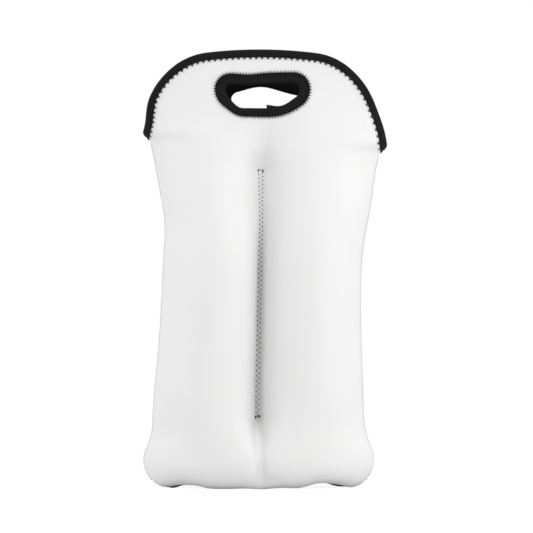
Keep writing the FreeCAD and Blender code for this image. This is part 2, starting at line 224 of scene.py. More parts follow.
class CarrierShape(PropertyGroup):
    """Sizes of the sheet and of the bag's sections."""

    sheet: length("Sheet", "Thickness of the bonded sheet", 0.003)
    tuck: length("Tuck", "How far a raw edge stays inside the fold of its tape", 0.0015)
    face_share: share("Face share", "Share of the sheet's thickness in its white layer", 0.5)
    foot_height: length("Foot height", "Where the panels stop rolling under", 0.025)
    foot_half_width: length("Foot half width", "Half width over the side seams at the foot", 0.1055)
    ankle_height: length("Ankle height", "Height where the foot has drawn in", 0.058)
    ankle_half_width: length("Ankle half width", "Half width there", 0.0986)
    waist_height: length("Waist height", "Height of the narrowest section", 0.195)
    waist_half_width: length("Waist half width", "Half width there", 0.0912)
    seam_top: length("Seam top", "Height of the tops of the side seams", 0.311)
    seam_top_half_width: length("Seam top half width", "Half width there", 0.1036)
    lobe_depth: length("Lobe depth", "Half depth over a bottle", 0.042)
    foot_lobe_depth: length("Foot lobe depth", "Half depth of a lobe at the foot", 0.0390)
    belly_height: length("Belly height", "Height where the lobes are full", 0.095)
    mouth_lobe_depth: length("Mouth lobe depth", "Half depth of a lobe at the seam tops", 0.028)
    mouth_depth: length("Mouth depth", "Half depth of the mouth at the seam tops", 0.030)
    slot_depth: length("Slot depth", "Half depth at the hand slots", 0.023)
    top_depth: length("Top depth", "Half depth at the top of the handles", 0.018)
    foot_middle_depth: length("Foot middle depth", "Half depth of the foot as if it were one lobe", 0.0525)
    belly_depth: length("Belly depth", "Half depth at the centre seam's foot as if it were one lobe", 0.055)
    divider_top_depth: length("Divider top depth", "Half depth at the seam's top as if one lobe", 0.035)
    seam_gap: length("Seam gap", "Room left where two edges meet", 0.0003)
    mouth_flare: angle("Mouth flare", "How the handles part above the side seams", math.radians(8))
    flare_start: length("Flare start", "Height over which that flare sets in", 0.015)
    foot_lobed: share("Foot lobed", "How far the foot is parted into two lobes", 0.3)
    seam_top_lobed: share("Seam top lobed", "How far the mouth is parted into two lobes", 0.60)
    seam_end_reach: length("Seam end reach", "Distance from the divider's ends to the open valley", 0.0055)
    seam_end_lobed: share("Seam end lobed", "How far the panel is still parted there", 0.90)
    lobe_fade: length("Lobe fade", "Height where the lobes begin to merge, away from the centre seam", 0.240)
    valley_reach: share("Valley reach", "Girth share that the ends of the centre seam shape", 0.25)
    slot_lobed: share("Slot lobed", "How far the handle is parted into two lobes", 0.15)
    foot_round: share("Foot roundness", "Roundness of the lobes at the foot", 0.6)
    waist_round: share("Waist roundness", "Roundness of the lobes at the waist", 0.65)
    seam_top_round: share("Seam top roundness", "Roundness of the section at the seam tops", 0.4)
    slot_round: share("Slot roundness", "Roundness of the section at the slots", 0.15)
    top_round: share("Top roundness", "Roundness of the section at the top", 0.1)
    divider_bottom: length("Divider bottom", "Lower end of the centre seam", 0.0635)
    divider_top: length("Divider top", "Upper end of the centre seam", 0.292)
    left_softness: share("Left softness", "Girth share where the left panel is flat at the seam", 0.064)
    right_softness: share("Right softness", "The same for the right panel", 0.086)
    top_softness: share("Top softness", "The same for both at the top of the seam", 0.045)
    left_power: share("Left power", "How the left lobe rises from the seam; 1 is a plain half wave", 0.60)
    right_power: share("Right power", "The same for the right lobe", 0.80)
    top_power: share("Top power", "The same for both at the top of the seam", 1.40)
    base_turn_up: length("Base turn-up", "How far the ends of the base turn up the foot", 0.0050)
    ring_level: length("Ring level", "Height where the rows give way to rings round the slot", 0.331)
    mouth_end_half_width: length("Mouth end half width", "Half width over the ends of the mouth tape", 0.1127)
    shoulder_half_width: length("Shoulder half width", "Half width of the dome's shoulder corners", 0.0925)
    shoulder_radius: length("Shoulder radius", "Rounding of the shoulders", 0.062)
    crown_slope: angle("Crown slope", "Slope of the crown where it meets the shoulders", math.radians(6.8))
    crown_radius: length("Crown radius", "Rounding of the crown", 0.42)
    slot_top_drop: length("Slot top drop", "Drop from the crown to the opening", 0.0310)
    slot_height: length("Slot height", "Height of the opening", 0.0227)
    slot_half_width: length("Slot half width", "Half width of the opening", 0.034)
    slot_side_height: length("Slot side height", "Height of the opening's upright sides", 0.0100)
    slot_bottom_half_width: length("Slot bottom half width", "Half width of the opening's floor", 0.0155)
    slot_upper_radius: length("Slot upper radius", "Rounding of the upper corners", 0.0053)
    slot_side_radius: length("Slot side radius", "Rounding below the upright sides", 0.0088)
    slot_lower_radius: length("Slot lower radius", "Rounding of the lower corners", 0.036)


class CarrierSewing(PropertyGroup):
    """Tapes and threads."""

    tape: length("Tape", "Thickness of the binding tape", 0.0008)
    tape_clearance: length("Tape clearance", "Room between the tape and the sheet", 0.00005)
    mouth_tape_width: length("Mouth tape width", "Width of the mouth binding on each face", 0.0073)
    mouth_tape_start: length("Mouth tape start", "Height of the tape's ends above the seam tops", 0.002)
    mouth_tape_slant: length("Mouth tape slant", "How far the tape's ends are cut on the slant", 0.0065)
    slot_tape_width: length("Slot tape width", "Width of the slot binding on each face", 0.0080)
    slot_tape_widening: length("Slot tape widening", "How much wider the slot binding gets going up", 0.0013)
    slot_tape_lap: length("Slot tape lap", "How far the slot tape laps over its own start", 0.0155)
    slot_tape_poke: length("Slot tape poke", "How far the end of the lap pokes into the opening", 0.0030)
    slot_tape_join: length("Slot tape join", "Place of the slot tape's start, right of the middle", 0.018)
    pucker: length("Pucker", "Height of the ribs that the stitches pull in the slot tape", 0.00022)
    mouth_pucker: length("Mouth pucker", "Height of the ribs in the mouth tape", 0.00010)
    thread_radius: length("Thread radius", "Half the thickness of the binding thread", 0.00043)
    seam_thread_radius: length("Seam thread radius", "Half the thickness of the seam thread", 0.00028)
    mouth_stitch_width: length("Mouth stitch width", "Width of the mouth zigzag", 0.0044)
    mouth_stitch_pitch: length("Mouth stitch pitch", "Pitch of the mouth zigzag", 0.0054)
    mouth_stitch_start: length("Mouth stitch start", "Distance of the zigzag from the tape's ends", 0.004)
    mouth_stitch_over: length("Mouth stitch overhang", "How far the zigzag runs past the tape", 0.0017)
    slot_stitch_width: length("Slot stitch width", "Width of the slot zigzag", 0.0046)
    slot_stitch_pitch: length("Slot stitch pitch", "Pitch of the slot zigzag", 0.0026)
    slot_stitch_steepness: share("Slot stitch steepness", "How close the two legs of a slot stitch run", 0.45)
    slot_stitch_over: length("Slot stitch overhang", "How far the zigzag runs past the tape", 0.0018)
    divider_stitch_width: length("Centre stitch width", "Width of the centre zigzag", 0.0024)
    divider_top_width: length("Centre stitch top width", "Width of that zigzag at its upper end", 0.0038)
    divider_stitch_pitch: length("Centre stitch pitch", "Mean pitch of the centre zigzag", 0.00432)
    divider_crowding: share("Centre stitch crowding", "How much closer the stitches get going up", 0.146)
    needle_hole: length("Needle hole", "Half width of a needle hole", 0.00065)
    tape_hole: length("Tape needle hole", "Half width of a needle hole in the tapes", 0.0003)
    hole_stretch: share("Needle hole stretch", "Length of a needle hole over its width", 1.3)
    tape_hole_stretch: share("Tape hole stretch", "Length of a tape's needle hole over its width", 2.6)
    bartack: length("Bartack", "Length of the bartack that ends the centre seam", 0.0030)
    bartack_radius: length("Bartack thread radius", "Half the thickness of its thread", 0.00024)
    bartack_width: length("Bartack width", "Distance between its two needle holes, below", 0.0033)
    bartack_top_width: length("Bartack top width", "The same above", 0.0042)
    bartack_hole: length("Bartack needle hole", "Half width of its two needle holes", 0.0009)
    bartack_arch: length("Bartack arch", "Rise of its thread between the holes", 0.0010)
    side_stitch_width: length("Side stitch width", "Width of the side zigzag", 0.0066)
    side_stitch_pitch: length("Side stitch pitch", "Pitch of the side zigzag", 0.0032)
    side_thread_radius: length("Side thread radius", "Half the thickness of the side thread", 0.00024)
    base_tuck: length("Base tuck", "How far the base's edge sits up inside the hem", 0.0006)
    base_stitch_width: length("Base stitch width", "Width of the base zigzag", 0.003)
    base_stitch_pitch: length("Base stitch pitch", "Pitch of the base zigzag", 0.004)
    base_stitch_inset: length("Base stitch inset", "Distance of the zigzag from the base's edge", 0.004)


class CarrierStance(PropertyGroup):
    """How this carrier stands and sags, apart from its even cut."""

    mouth_tilt: share("Mouth tilt", "Slope of the mouth ends, down to the right", 0.049)
    slot_level_tilt: share("Handle tilt", "Slope of the handles at the slots, down to the right", 0.012)
    crown_tilt: share("Crown tilt", "Slope of the crown, down to the right", 0.006)
    tilt_start: length("Tilt start", "Height where the tilt begins", 0.2)
    seam_draw_reach: length("Seam draw reach", "Reach of the centre seam's draw to both sides", 0.03)
    waist_dent: length("Waist dent", "How far the left side is drawn in above the waist", 0.0032)
    dent_height: length("Dent height", "Height of that dent", 0.238)
    dent_reach: length("Dent reach", "Reach of that dent up and down", 0.024)
    mouth_end_lift: length("Mouth end lift", "How far the left end of the mouth is drawn up", 0.0016)
    mouth_end_reach: length("Mouth end reach", "Reach of that lift up and down", 0.030)
    hem_reach: length("Hem reach", "How far up the waves of the bottom edge fade out", 0.011)
    slot_tilt: share("Slot tilt", "Slope of the front slot's lower edge, up to the right", 0.010)
    slot_top_tilt: share("Slot top tilt", "Further slope of the front slot's upper edge", 0.012)
    slot_top_lift: length("Slot top lift", "How far the front slot's upper edge is pulled up", 0.0002)
    slot_dip: length("Slot dip", "How far the slot's upper edge sags", 0.0014)
    slot_dip_place: length("Slot dip place", "Place of that sag, left of the middle", -0.012)
    slot_dip_reach: length("Slot dip reach", "Reach of that sag", 0.013)
    slot_corner_drop: length("Slot corner drop", "How far the front slot's lower left is pulled down", 0.0043)
    slot_corner_place: length("Slot corner place", "Place of that pull, left of the middle", -0.0240)
    slot_corner_reach: length("Slot corner reach", "Reach of that pull", 0.009)
    back_slot_shift: length("Back slot shift", "How far the back slot sits to the right", 0.0050)
    back_slot_drop: length("Back slot drop", "How far the back slot sits lower", 0.0016)
    back_slot_corner_drop: length("Back slot corner drop", "The same pull in the back slot", 0.0065)
    back_slot_crest: length("Back slot crest", "Place of the highest point of the back slot's arch", -0.0065)
    back_slot_sag: length("Back slot sag", "How far the back slot's arch would sag far out", 0.0125)
    back_slot_sag_reach: length("Back slot sag reach", "Distance from the crest to half of that sag", 0.0277)


class CarrierColours(PropertyGroup):
    """Plain colours of the finishes; some are darkened as painted shade, as noted at each."""

    white_knit: colour("White knit", "Outer jersey of the panels", (0.88, 0.88, 0.877))
    # Painted shade: the hollows between the white loops are darkened in colour
    white_knit_hollow_shade: colour("White knit hollows", "Between the white loops", (0.81, 0.81, 0.807))
    black_knit: colour("Black knit", "Jersey of the lining and the base", (0.016, 0.016, 0.017))
    # Painted shade: the hollows between the black loops are darkened in colour
    black_knit_hollow_shade: colour("Black knit hollows", "Between the black loops", (0.008, 0.008, 0.008))
    tape: colour("Tape", "Binding tape", (0.0064, 0.0064, 0.0066))
    # Painted shade: the grooves between the tape's ribs are darkened in colour
    tape_groove_shade: colour("Tape hollows", "Between the ribs of the tape", (0.0045, 0.0045, 0.0047))
    black_thread: colour("Black thread", "Thread of the bindings", (0.008, 0.008, 0.0082))
    white_thread: colour("White thread", "Thread of the centre seam", (0.80, 0.80, 0.80))
    # Painted shade: the side thread is white, darkened to grey so that its stitches show as the shadowed
    # ticks along the sides
    side_thread: colour("Side thread", "Thread of the side seams", (0.68, 0.68, 0.68))
    # Painted shade: the colour of the plugs that stand in for the shade inside needle holes
    needle_hole: colour("Needle hole", "Shade inside a needle hole", (0.02, 0.02, 0.02))
    floor: colour("Floor", "Studio floor", (0.81, 0.81, 0.81))


# Lift of the wavy bottom edge over its even cut, from left to right, as stations of (x, lift)
HEM_WAVES = (
    (-0.090, -0.0008),
    (-0.080, 0.0010),
    (-0.070, 0.0032),
    (-0.060, 0.0032),
    (-0.043, 0.0004),
    (-0.030, 0.0003),
    (-0.013, 0.0008),
    (0.003, 0.0003),
    (0.021, 0.0014),
    (0.034, 0.0010),
    (0.057, 0.0052),
    (0.070, 0.0038),
    (0.088, -0.0008),
)

# Where the black base shows below the white hem, as (x, depth, reach)
BASE_SAGS = (
    (-0.0760, 0.0026, 0.0075),
    (0.0703, 0.0032, 0.0072),
)

# Sideways sway of the middle of the carrier, from the base up, as stations of (height, x)
SWAY = (
    (0.000, -0.0028),
    (0.070, -0.0028),
    (0.136, -0.0014),
    (0.204, 0.0004),
    (0.250, 0.0023),
    (0.300, 0.0030),
    (0.325, 0.0028),
    (0.360, 0.0008),
    (0.401, 0.0004),
)

# How far the centre seam is drawn to the left, from its foot up, as stations of (height, draw)
SEAM_DRAW = (
    (0.025, 0.0000),
    (0.064, 0.0012),
    (0.140, 0.0016),
    (0.220, 0.0023),
    (0.292, 0.0040),
    (0.331, 0.0000),
)

# How far the left and the right side stand to the right of the even cut, as stations of (height, left, right)
SIDE_STANCE = (
    (0.028, 0.0000, 0.0000),
    (0.046, 0.0019, -0.0014),
    (0.062, 0.0008, -0.0017),
    (0.100, 0.0003, -0.0005),
    (0.200, 0.0002, -0.0004),
    (0.235, -0.0008, 0.0004),
    (0.262, 0.0000, 0.0015),
    (0.300, -0.0011, 0.0004),
    (0.328, -0.0019, 0.0022),
    (0.347, -0.0032, 0.0009),
    (0.365, -0.0018, -0.0006),
    (0.384, -0.0004, -0.0016),
)

# Creases pressed into the panels near the centre line, as (x, z) ends, depth and half width
CREASES = (
    ((0.0002, 0.0235), (-0.0016, 0.0090), 0.0007, 0.0008),
    ((-0.0022, 0.0625), (-0.0058, 0.0540), 0.0010, 0.0014),
    ((0.0022, 0.0625), (0.0062, 0.0480), 0.0009, 0.0016),
    ((0.0040, 0.0080), (0.0190, 0.0095), 0.0012, 0.0030),
    ((-0.0060, 0.0030), (-0.0120, 0.0080), 0.0008, 0.0018),
)


def scene_values():
    """The four property groups of the scene."""
    scene = bpy.context.scene
    return scene.carrier_shape, scene.carrier_sewing, scene.carrier_stance, scene.carrier_colours


def along(stations, where):
    """Monotone cubic through stations of (place, value): harmonic-mean slopes, level beyond both ends."""
    places, values = np.array(stations, float).T
    gaps = np.diff(places)
    rises = np.diff(values) / gaps
    before, after = rises[:-1], rises[1:]
    same_way = before * after > 0
    total = np.where(same_way, before + after, 1.0)
    slopes = np.concatenate(([0.0], np.where(same_way, 2 * before * after / total, 0.0), [0.0]))
    where = np.clip(where, places[0], places[-1])
    i = np.clip(np.searchsorted(places, where, side="right") - 1, 0, len(gaps) - 1)
    s = (where - places[i]) / gaps[i]
    level = values[i] * (1 + 2 * s) * (1 - s) ** 2 + values[i + 1] * s * s * (3 - 2 * s)
    return level + gaps[i] * s * (1 - s) * (slopes[i] * (1 - s) - slopes[i + 1] * s)


def ease(low, high, value):
    """Smooth step from 0 at low to 1 at high."""
    s = np.clip((value - low) / (high - low), 0.0, 1.0)
    return s * s * (3 - 2 * s)


def unit(vectors):
    """Vectors divided by their lengths."""
    return vectors / np.linalg.norm(vectors, axis=-1, keepdims=True)


def section(shape, height):
    """Section at a height: its measures run smoothly through stations going up.

    lobe and middle are the half depths as two lobes and as one. lobed is how far the section is parted at
    the centre seam, wide_lobed how far away from it. The edge depth is half the seam gap, plus the sheet
    seen along its facing, plus the tape, plus the flare, which grows evenly once it has set in.
    """
    sewing = bpy.context.scene.carrier_sewing
    slot_bottom = TOP_HEIGHT - shape.slot_top_drop - shape.slot_height
    measures = {
        "half_width": (
            (shape.foot_height, shape.foot_half_width),
            (shape.ankle_height, shape.ankle_half_width),
            (shape.waist_height, shape.waist_half_width),
            (shape.seam_top, shape.seam_top_half_width),
            (FOLD_HIGH, shape.mouth_end_half_width + shape.sheet),
        ),
        "lobe": (
            (shape.foot_height, shape.foot_lobe_depth),
            (shape.belly_height, shape.lobe_depth),
            (shape.waist_height, shape.lobe_depth),
            (shape.seam_top, shape.mouth_lobe_depth),
            (TOP_HEIGHT, shape.top_depth),
        ),
        "middle": (
            (shape.foot_height, shape.foot_middle_depth),
            (shape.divider_bottom, shape.belly_depth),
            (shape.divider_top, shape.divider_top_depth),
            (shape.seam_top, shape.mouth_depth),
            (slot_bottom, shape.slot_depth),
            (TOP_HEIGHT, shape.top_depth),
        ),
        "lobed": (
            (shape.foot_height, shape.foot_lobed),
            (shape.divider_bottom - shape.seam_end_reach, shape.seam_end_lobed),
            (shape.divider_bottom, 1.0),
            (shape.divider_top, 1.0),
            (shape.divider_top + shape.seam_end_reach, shape.seam_end_lobed),
            (shape.seam_top, shape.seam_top_lobed),
            (slot_bottom, shape.slot_lobed),
            (TOP_HEIGHT, 0.0),
        ),
        "wide_lobed": (
            (shape.foot_height, shape.foot_lobed),
            (shape.belly_height, 1.0),
            (shape.lobe_fade, 1.0),
            (shape.seam_top, shape.seam_top_lobed),
            (slot_bottom, shape.slot_lobed),
            (TOP_HEIGHT, 0.0),
        ),
        "roundness": (
            (shape.foot_height, shape.foot_round),
            (shape.waist_height, shape.waist_round),
            (shape.seam_top, shape.seam_top_round),
            (slot_bottom, shape.slot_round),
            (TOP_HEIGHT, shape.top_round),
        ),
    }
    part = SimpleNamespace(**{name: along(stations, height) for name, stations in measures.items()})
    part.sewn = shape.sheet + shape.seam_gap / 2
    part.swell = part.lobe - part.sewn
    part.across = part.half_width * (1 - part.roundness)
    lobed_drop = math.pi * part.swell + 2 * part.sewn
    part.drop = part.wide_lobed * lobed_drop + (1 - part.wide_lobed) * 2 * part.middle
    facing = part.across / np.hypot(part.across, part.drop)
    tape = (sewing.tape + sewing.tape_clearance) * ease(shape.divider_top, shape.seam_top, height)
    above = np.maximum(0.0, height - shape.seam_top)
    flare = math.tan(shape.mouth_flare) * above**2 / (above + shape.flare_start)
    part.edge = shape.seam_gap / 2 + shape.sheet * facing + tape + flare
    return part


def reach_across(a, roundness):
    """Share of the half width reached at girth share a: straight, or as a half wave where it is round."""
    return (1 - roundness) * a + roundness * (1 - np.cos(math.pi * a)) / 2


def wall(shape, x, height):
    """Half depth of the outer face at x: its girth share by Newton steps, then two lobes mixed with one.

    A lobe is a half sine wave whose inner half is raised to a power and goes flat at the sewn centre line.
    The single form is a parabola. A bell leads from the lobed share at the centre line to the wide one.
    """
    part = section(shape, height)
    reach = np.minimum(np.abs(x) / part.half_width, 1.0)
    a = reach
    for _ in range(NEWTON_STEPS):
        slope = 1 - part.roundness + part.roundness * math.pi / 2 * np.sin(math.pi * a)
        a = np.clip(a - (reach_across(a, part.roundness) - reach) / slope, 0.0, 1.0)
    gone_up = ease(shape.waist_height, shape.divider_top, height)
    softness = np.where(x < 0, shape.left_softness, shape.right_softness)
    softness = softness + (shape.top_softness - softness) * gone_up
    power = np.where(x < 0, shape.left_power, shape.right_power)
    power = power + (shape.top_power - power) * gone_up
    climb = np.sin(math.pi * a) ** np.where(a < 0.5, power, 1.0)
    swell = climb * a**4 / (a**4 + softness**4)
    lobed = part.sewn + (part.edge - part.sewn) * a**2 + part.swell * swell
    single = part.edge + (part.middle - part.edge) * (1 - a**2)
    share = part.wide_lobed + (part.lobed - part.wide_lobed) * np.exp(-((a / shape.valley_reach) ** 2))
    return share * lobed + (1 - share) * single


def dome_corners(shape):
    """Heights of the crown's corner and the shoulder corners, before they are rounded."""
    peak = TOP_HEIGHT + shape.crown_radius * (1 / math.cos(shape.crown_slope) - 1)
    return peak, peak - shape.shoulder_half_width * math.tan(shape.crown_slope)


def dome_side(shape, height):
    """Half width over the mouth tape on the dome's straight sides."""
    rise = dome_corners(shape)[1] - shape.seam_top
    slope = (shape.mouth_end_half_width - shape.shoulder_half_width) / rise
    return shape.mouth_end_half_width - slope * (height - shape.seam_top)


def outer_face(shape, t, height):
    """Outer face of the front panel: t runs from -1 to 1 across, height up.

    The foot rolls under to the base oval on a quarter turn. Above the side seams the edge swings out to
    follow the dome inside its tape.
    """
    wall_height = np.maximum(height, shape.foot_height)
    part = section(shape, wall_height)
    swing = ease(shape.seam_top, FOLD_HIGH - shape.sheet, wall_height)
    seam_width = np.minimum(part.half_width, shape.seam_top_half_width)
    half_width = np.where(
        wall_height < shape.seam_top,
        part.half_width,
        seam_width + (dome_side(shape, wall_height) - shape.tuck - seam_width) * swing,
    )
    x = np.sign(t) * half_width * reach_across(np.abs(t), part.roundness)
    y = -wall(shape, x, wall_height)
    roll = math.pi / 2 * np.minimum(height / shape.foot_height, 1.0)
    base_x = BASE_HALF_LENGTH * np.sin(t * math.pi / 2)
    base_y = -BASE_HALF_DEPTH * np.cos(t * math.pi / 2) - shape.seam_gap / 2
    below = height < shape.foot_height
    out = np.sin(roll)
    return np.stack(
        np.broadcast_arrays(
            np.where(below, base_x + (x - base_x) * out, x),
            np.where(below, base_y + (y - base_y) * out, y),
            np.where(below, shape.foot_height * (1 - np.cos(roll)), height),
        ),
        axis=-1,
    )


def on_sheet(shape, x, z, lift):
    """Point lifted off the front panel's outer face at (x, z), and the outward normal there."""
    slope_x = (wall(shape, x + NUDGE, z) - wall(shape, x - NUDGE, z)) / (2 * NUDGE)
    slope_z = (wall(shape, x, z + NUDGE) - wall(shape, x, z - NUDGE)) / (2 * NUDGE)
    normal = unit(np.stack([-slope_x, -np.ones_like(slope_x), -slope_z], axis=-1))
    point = np.stack(np.broadcast_arrays(x, -wall(shape, x, z), z), axis=-1)
    return point + normal * np.asarray(lift)[..., None], normal


def settled(points, stance):
    """Points moved as this carrier stands: it sways, its mouth tilts, one side dents and its hem waves.

    The centre seam is drawn to the left and the left end of the mouth up, both as bells; the sides stand as
    their stations say.
    """
    shape = bpy.context.scene.carrier_shape
    x, y, z = np.moveaxis(points, -1, 0)
    tilt = along(
        (
            (stance.tilt_start, 0.0),
            (shape.seam_top, stance.mouth_tilt),
            (TOP_HEIGHT - shape.slot_top_drop - shape.slot_height, stance.slot_level_tilt),
            (TOP_HEIGHT, stance.crown_tilt),
        ),
        z,
    )
    dent = stance.waist_dent * np.exp(-(((z - stance.dent_height) / stance.dent_reach) ** 2))
    left = ease(0.0, -shape.waist_half_width, x)
    seam = along(SEAM_DRAW, z) * np.exp(-((x / stance.seam_draw_reach) ** 2))
    rim = ease(0.0, HEM_RIM, (x / BASE_HALF_LENGTH) ** 2 + (y / BASE_HALF_DEPTH) ** 2)
    hem = along(HEM_WAVES, x) * np.exp(-z / stance.hem_reach) * rim
    heights, *leans = zip(*SIDE_STANCE)
    left_lean, right_lean = (along(tuple(zip(heights, lean)), z) for lean in leans)
    stance_x = np.where(x < 0, left_lean, right_lean)
    outer = ease(SIDE_STANCE_INNER, SIDE_STANCE_OUTER, np.abs(x))
    drawn_up = np.exp(-(((z - shape.seam_top) / stance.mouth_end_reach) ** 2)) * stance.mouth_end_lift * left
    moved_x = x + along(SWAY, z) + dent * left - seam + stance_x * outer
    return np.stack([moved_x, y, z - tilt * x + hem + drawn_up], axis=-1)


def crease_depth(x, z):
    """Depth of the creases at (x, z): each is a half wave along its segment and a bell across it."""
    total = np.zeros_like(x)
    for start, end, depth, half_width in CREASES:
        run_x, run_z = end[0] - start[0], end[1] - start[1]
        s = ((x - start[0]) * run_x + (z - start[1]) * run_z) / (run_x**2 + run_z**2)
        s = np.clip(s, 0.0, 1.0)
        away = np.hypot(x - start[0] - s * run_x, z - start[1] - s * run_z)
        fade = np.sin(math.pi * np.clip(s, CREASE_END_SHARE, 1 - CREASE_END_SHARE))
        total += depth * fade * np.exp(-((away / half_width) ** 2))
    return total


def rounded_path(corners, closed):
    """Dense polyline through corners (x, z, radius): each corner is an arc that touches both its runs."""
    corners = np.array(corners, float)
    place, radius = corners[:, :2], corners[:, 2:]
    if not closed:
        place = np.vstack([2 * place[:1] - place[1:2], place, 2 * place[-1:] - place[-2:-1]])
        radius = np.vstack([[[0.0]], radius, [[0.0]]])
    back = unit(np.roll(place, 1, axis=0) - place)
    on = unit(np.roll(place, -1, axis=0) - place)
    if not closed:
        place, radius, back, on = (values[1:-1] for values in (place, radius, back, on))
    half = np.arccos(np.clip(np.sum(back * on, axis=1, keepdims=True), -1.0, 1.0)) / 2
    middle = place + (back + on) / (2 * np.cos(half)) * radius / np.sin(half)
    first = place + back * radius / np.tan(half) - middle
    last = place + on * radius / np.tan(half) - middle
    start = np.arctan2(first[:, 1:], first[:, :1])
    sweep = np.arctan2(last[:, 1:], last[:, :1]) - start
    sweep = (sweep + math.pi) % (2 * math.pi) - math.pi
    turn = start + sweep * np.linspace(0.0, 1.0, ARC_STEPS)
    path = middle[:, None, :] + radius[:, None, :] * np.stack([np.cos(turn), np.sin(turn)], axis=-1)
    path = path.reshape(-1, 2)
    return np.vstack([path, path[:1]]) if closed else path


def path_length(path):
    """Length of a polyline."""
    return np.linalg.norm(np.diff(path, axis=0), axis=1).sum()


def walk(path, distance):
    """Points at distances along a polyline, and the left-hand direction there; a closed one wraps round."""
    run = np.concatenate(([0.0], np.cumsum(np.linalg.norm(np.diff(path, axis=0), axis=1))))
    period = run[-1] if np.allclose(path[0], path[-1]) else None

    def at(where):
        return np.stack([np.interp(where, run, path[:, k], period=period) for k in (0, 1)], axis=-1)

    travel = at(distance + PATH_NUDGE) - at(distance - PATH_NUDGE)
    left = unit(np.stack([-travel[..., 1], travel[..., 0]], axis=-1))
    return at(distance), left


def moved_left(path, distance):
    """Polyline moved to its left by a distance."""
    run = np.concatenate(([0.0], np.cumsum(np.linalg.norm(np.diff(path, axis=0), axis=1))))
    point, left = walk(path, run)
    return point + left * distance


def dome_path(shape, low):
    """Outer edge of the mouth tape from a low level on the right, over the crown, down to it on the left."""
    peak, shoulder = dome_corners(shape)
    low_half_width = dome_side(shape, low)
    return rounded_path(
        (
            (low_half_width, low, 0.0),
            (shape.shoulder_half_width, shoulder, shape.shoulder_radius),
            (0.0, peak, shape.crown_radius),
            (-shape.shoulder_half_width, shoulder, shape.shoulder_radius),
            (-low_half_width, low, 0.0),
        ),
        closed=False,
    )


def slot_path(shape, stance, side):
    """Edge of a hand opening, clockwise from the front: square above, sloped in below.

    The front one tilts, its upper edge sags as a bell, and its lower left is pulled down as a bell. The back
    one sits lower and to the right, has a like pull, and its upper edge falls away from a crest.
    """
    top = TOP_HEIGHT - shape.slot_top_drop
    side_low = top - shape.slot_side_height
    bottom = top - shape.slot_height
    path = rounded_path(
        (
            (shape.slot_bottom_half_width, bottom, shape.slot_lower_radius),
            (-shape.slot_bottom_half_width, bottom, shape.slot_lower_radius),
            (-shape.slot_half_width, side_low, shape.slot_side_radius),
            (-shape.slot_half_width, top, shape.slot_upper_radius),
            (shape.slot_half_width, top, shape.slot_upper_radius),
            (shape.slot_half_width, side_low, shape.slot_side_radius),
        ),
        closed=True,
    )
    x, z = walk(path, np.linspace(0.0, path_length(path), SLOT_STEPS))[0].T
    upper = ease(bottom, top, z)
    corner = (1 - upper) * np.exp(-(((x - stance.slot_corner_place) / stance.slot_corner_reach) ** 2))
    if side == "front":
        sag = stance.slot_dip * np.exp(-(((x - stance.slot_dip_place) / stance.slot_dip_reach) ** 2))
        lifted = stance.slot_tilt * x + upper * (stance.slot_top_lift + stance.slot_top_tilt * x - sag)
        return np.stack([x, z + lifted - corner * stance.slot_corner_drop], axis=-1)
    away = (x - stance.back_slot_crest) ** 2
    arch = stance.back_slot_sag * away / (away + stance.back_slot_sag_reach**2)
    lowered = stance.back_slot_drop + upper * arch + corner * stance.back_slot_corner_drop
    return np.stack([x + stance.back_slot_shift, z - lowered], axis=-1)


def slot_tape_width(sewing, z):
    """Width of the slot binding at the heights of its stations: it grows from the bottom to half way up."""
    return sewing.slot_tape_width + sewing.slot_tape_widening * ease(z.min(), (z.min() + z.max()) / 2, z)


def grid_faces(index):
    """Quads of a grid of vertex numbers; rows run one way and columns the other."""
    corners = (index[:-1, :-1], index[:-1, 1:], index[1:, 1:], index[1:, :-1])
    return np.stack(corners, axis=-1).reshape(-1, 4)


def vertex_normals(points, faces):
    """Normals of vertices: the sum of the cross products of the diagonals of the quads round each."""
    corner = points[faces]
    facing = np.cross(corner[:, 2] - corner[:, 0], corner[:, 3] - corner[:, 1])
    total = np.zeros_like(points)
    np.add.at(total, faces.ravel(), np.repeat(facing, 4, axis=0))
    return unit(total)


def thicken(points, faces, near, far):
    """Closed sheet between two depths below a surface: both skins, and a rim along every open edge.

    The depths are given for each point or once for all.
    """
    count = len(points)
    normals = vertex_normals(points, faces)
    edges = np.concatenate([faces[:, [k, (k + 1) % 4]] for k in range(4)])
    forward = edges[:, 0] * count + edges[:, 1]
    backward = edges[:, 1] * count + edges[:, 0]
    rim = edges[~np.isin(forward, backward)]
    sides = np.column_stack([rim[:, 1], rim[:, 0], rim[:, 0] + count, rim[:, 1] + count])
    near, far = (np.broadcast_to(depth, count)[:, None] for depth in (near, far))
    skins = np.vstack([points - normals * near, points - normals * far])
    return skins, np.vstack([faces, faces[:, ::-1] + count, sides])


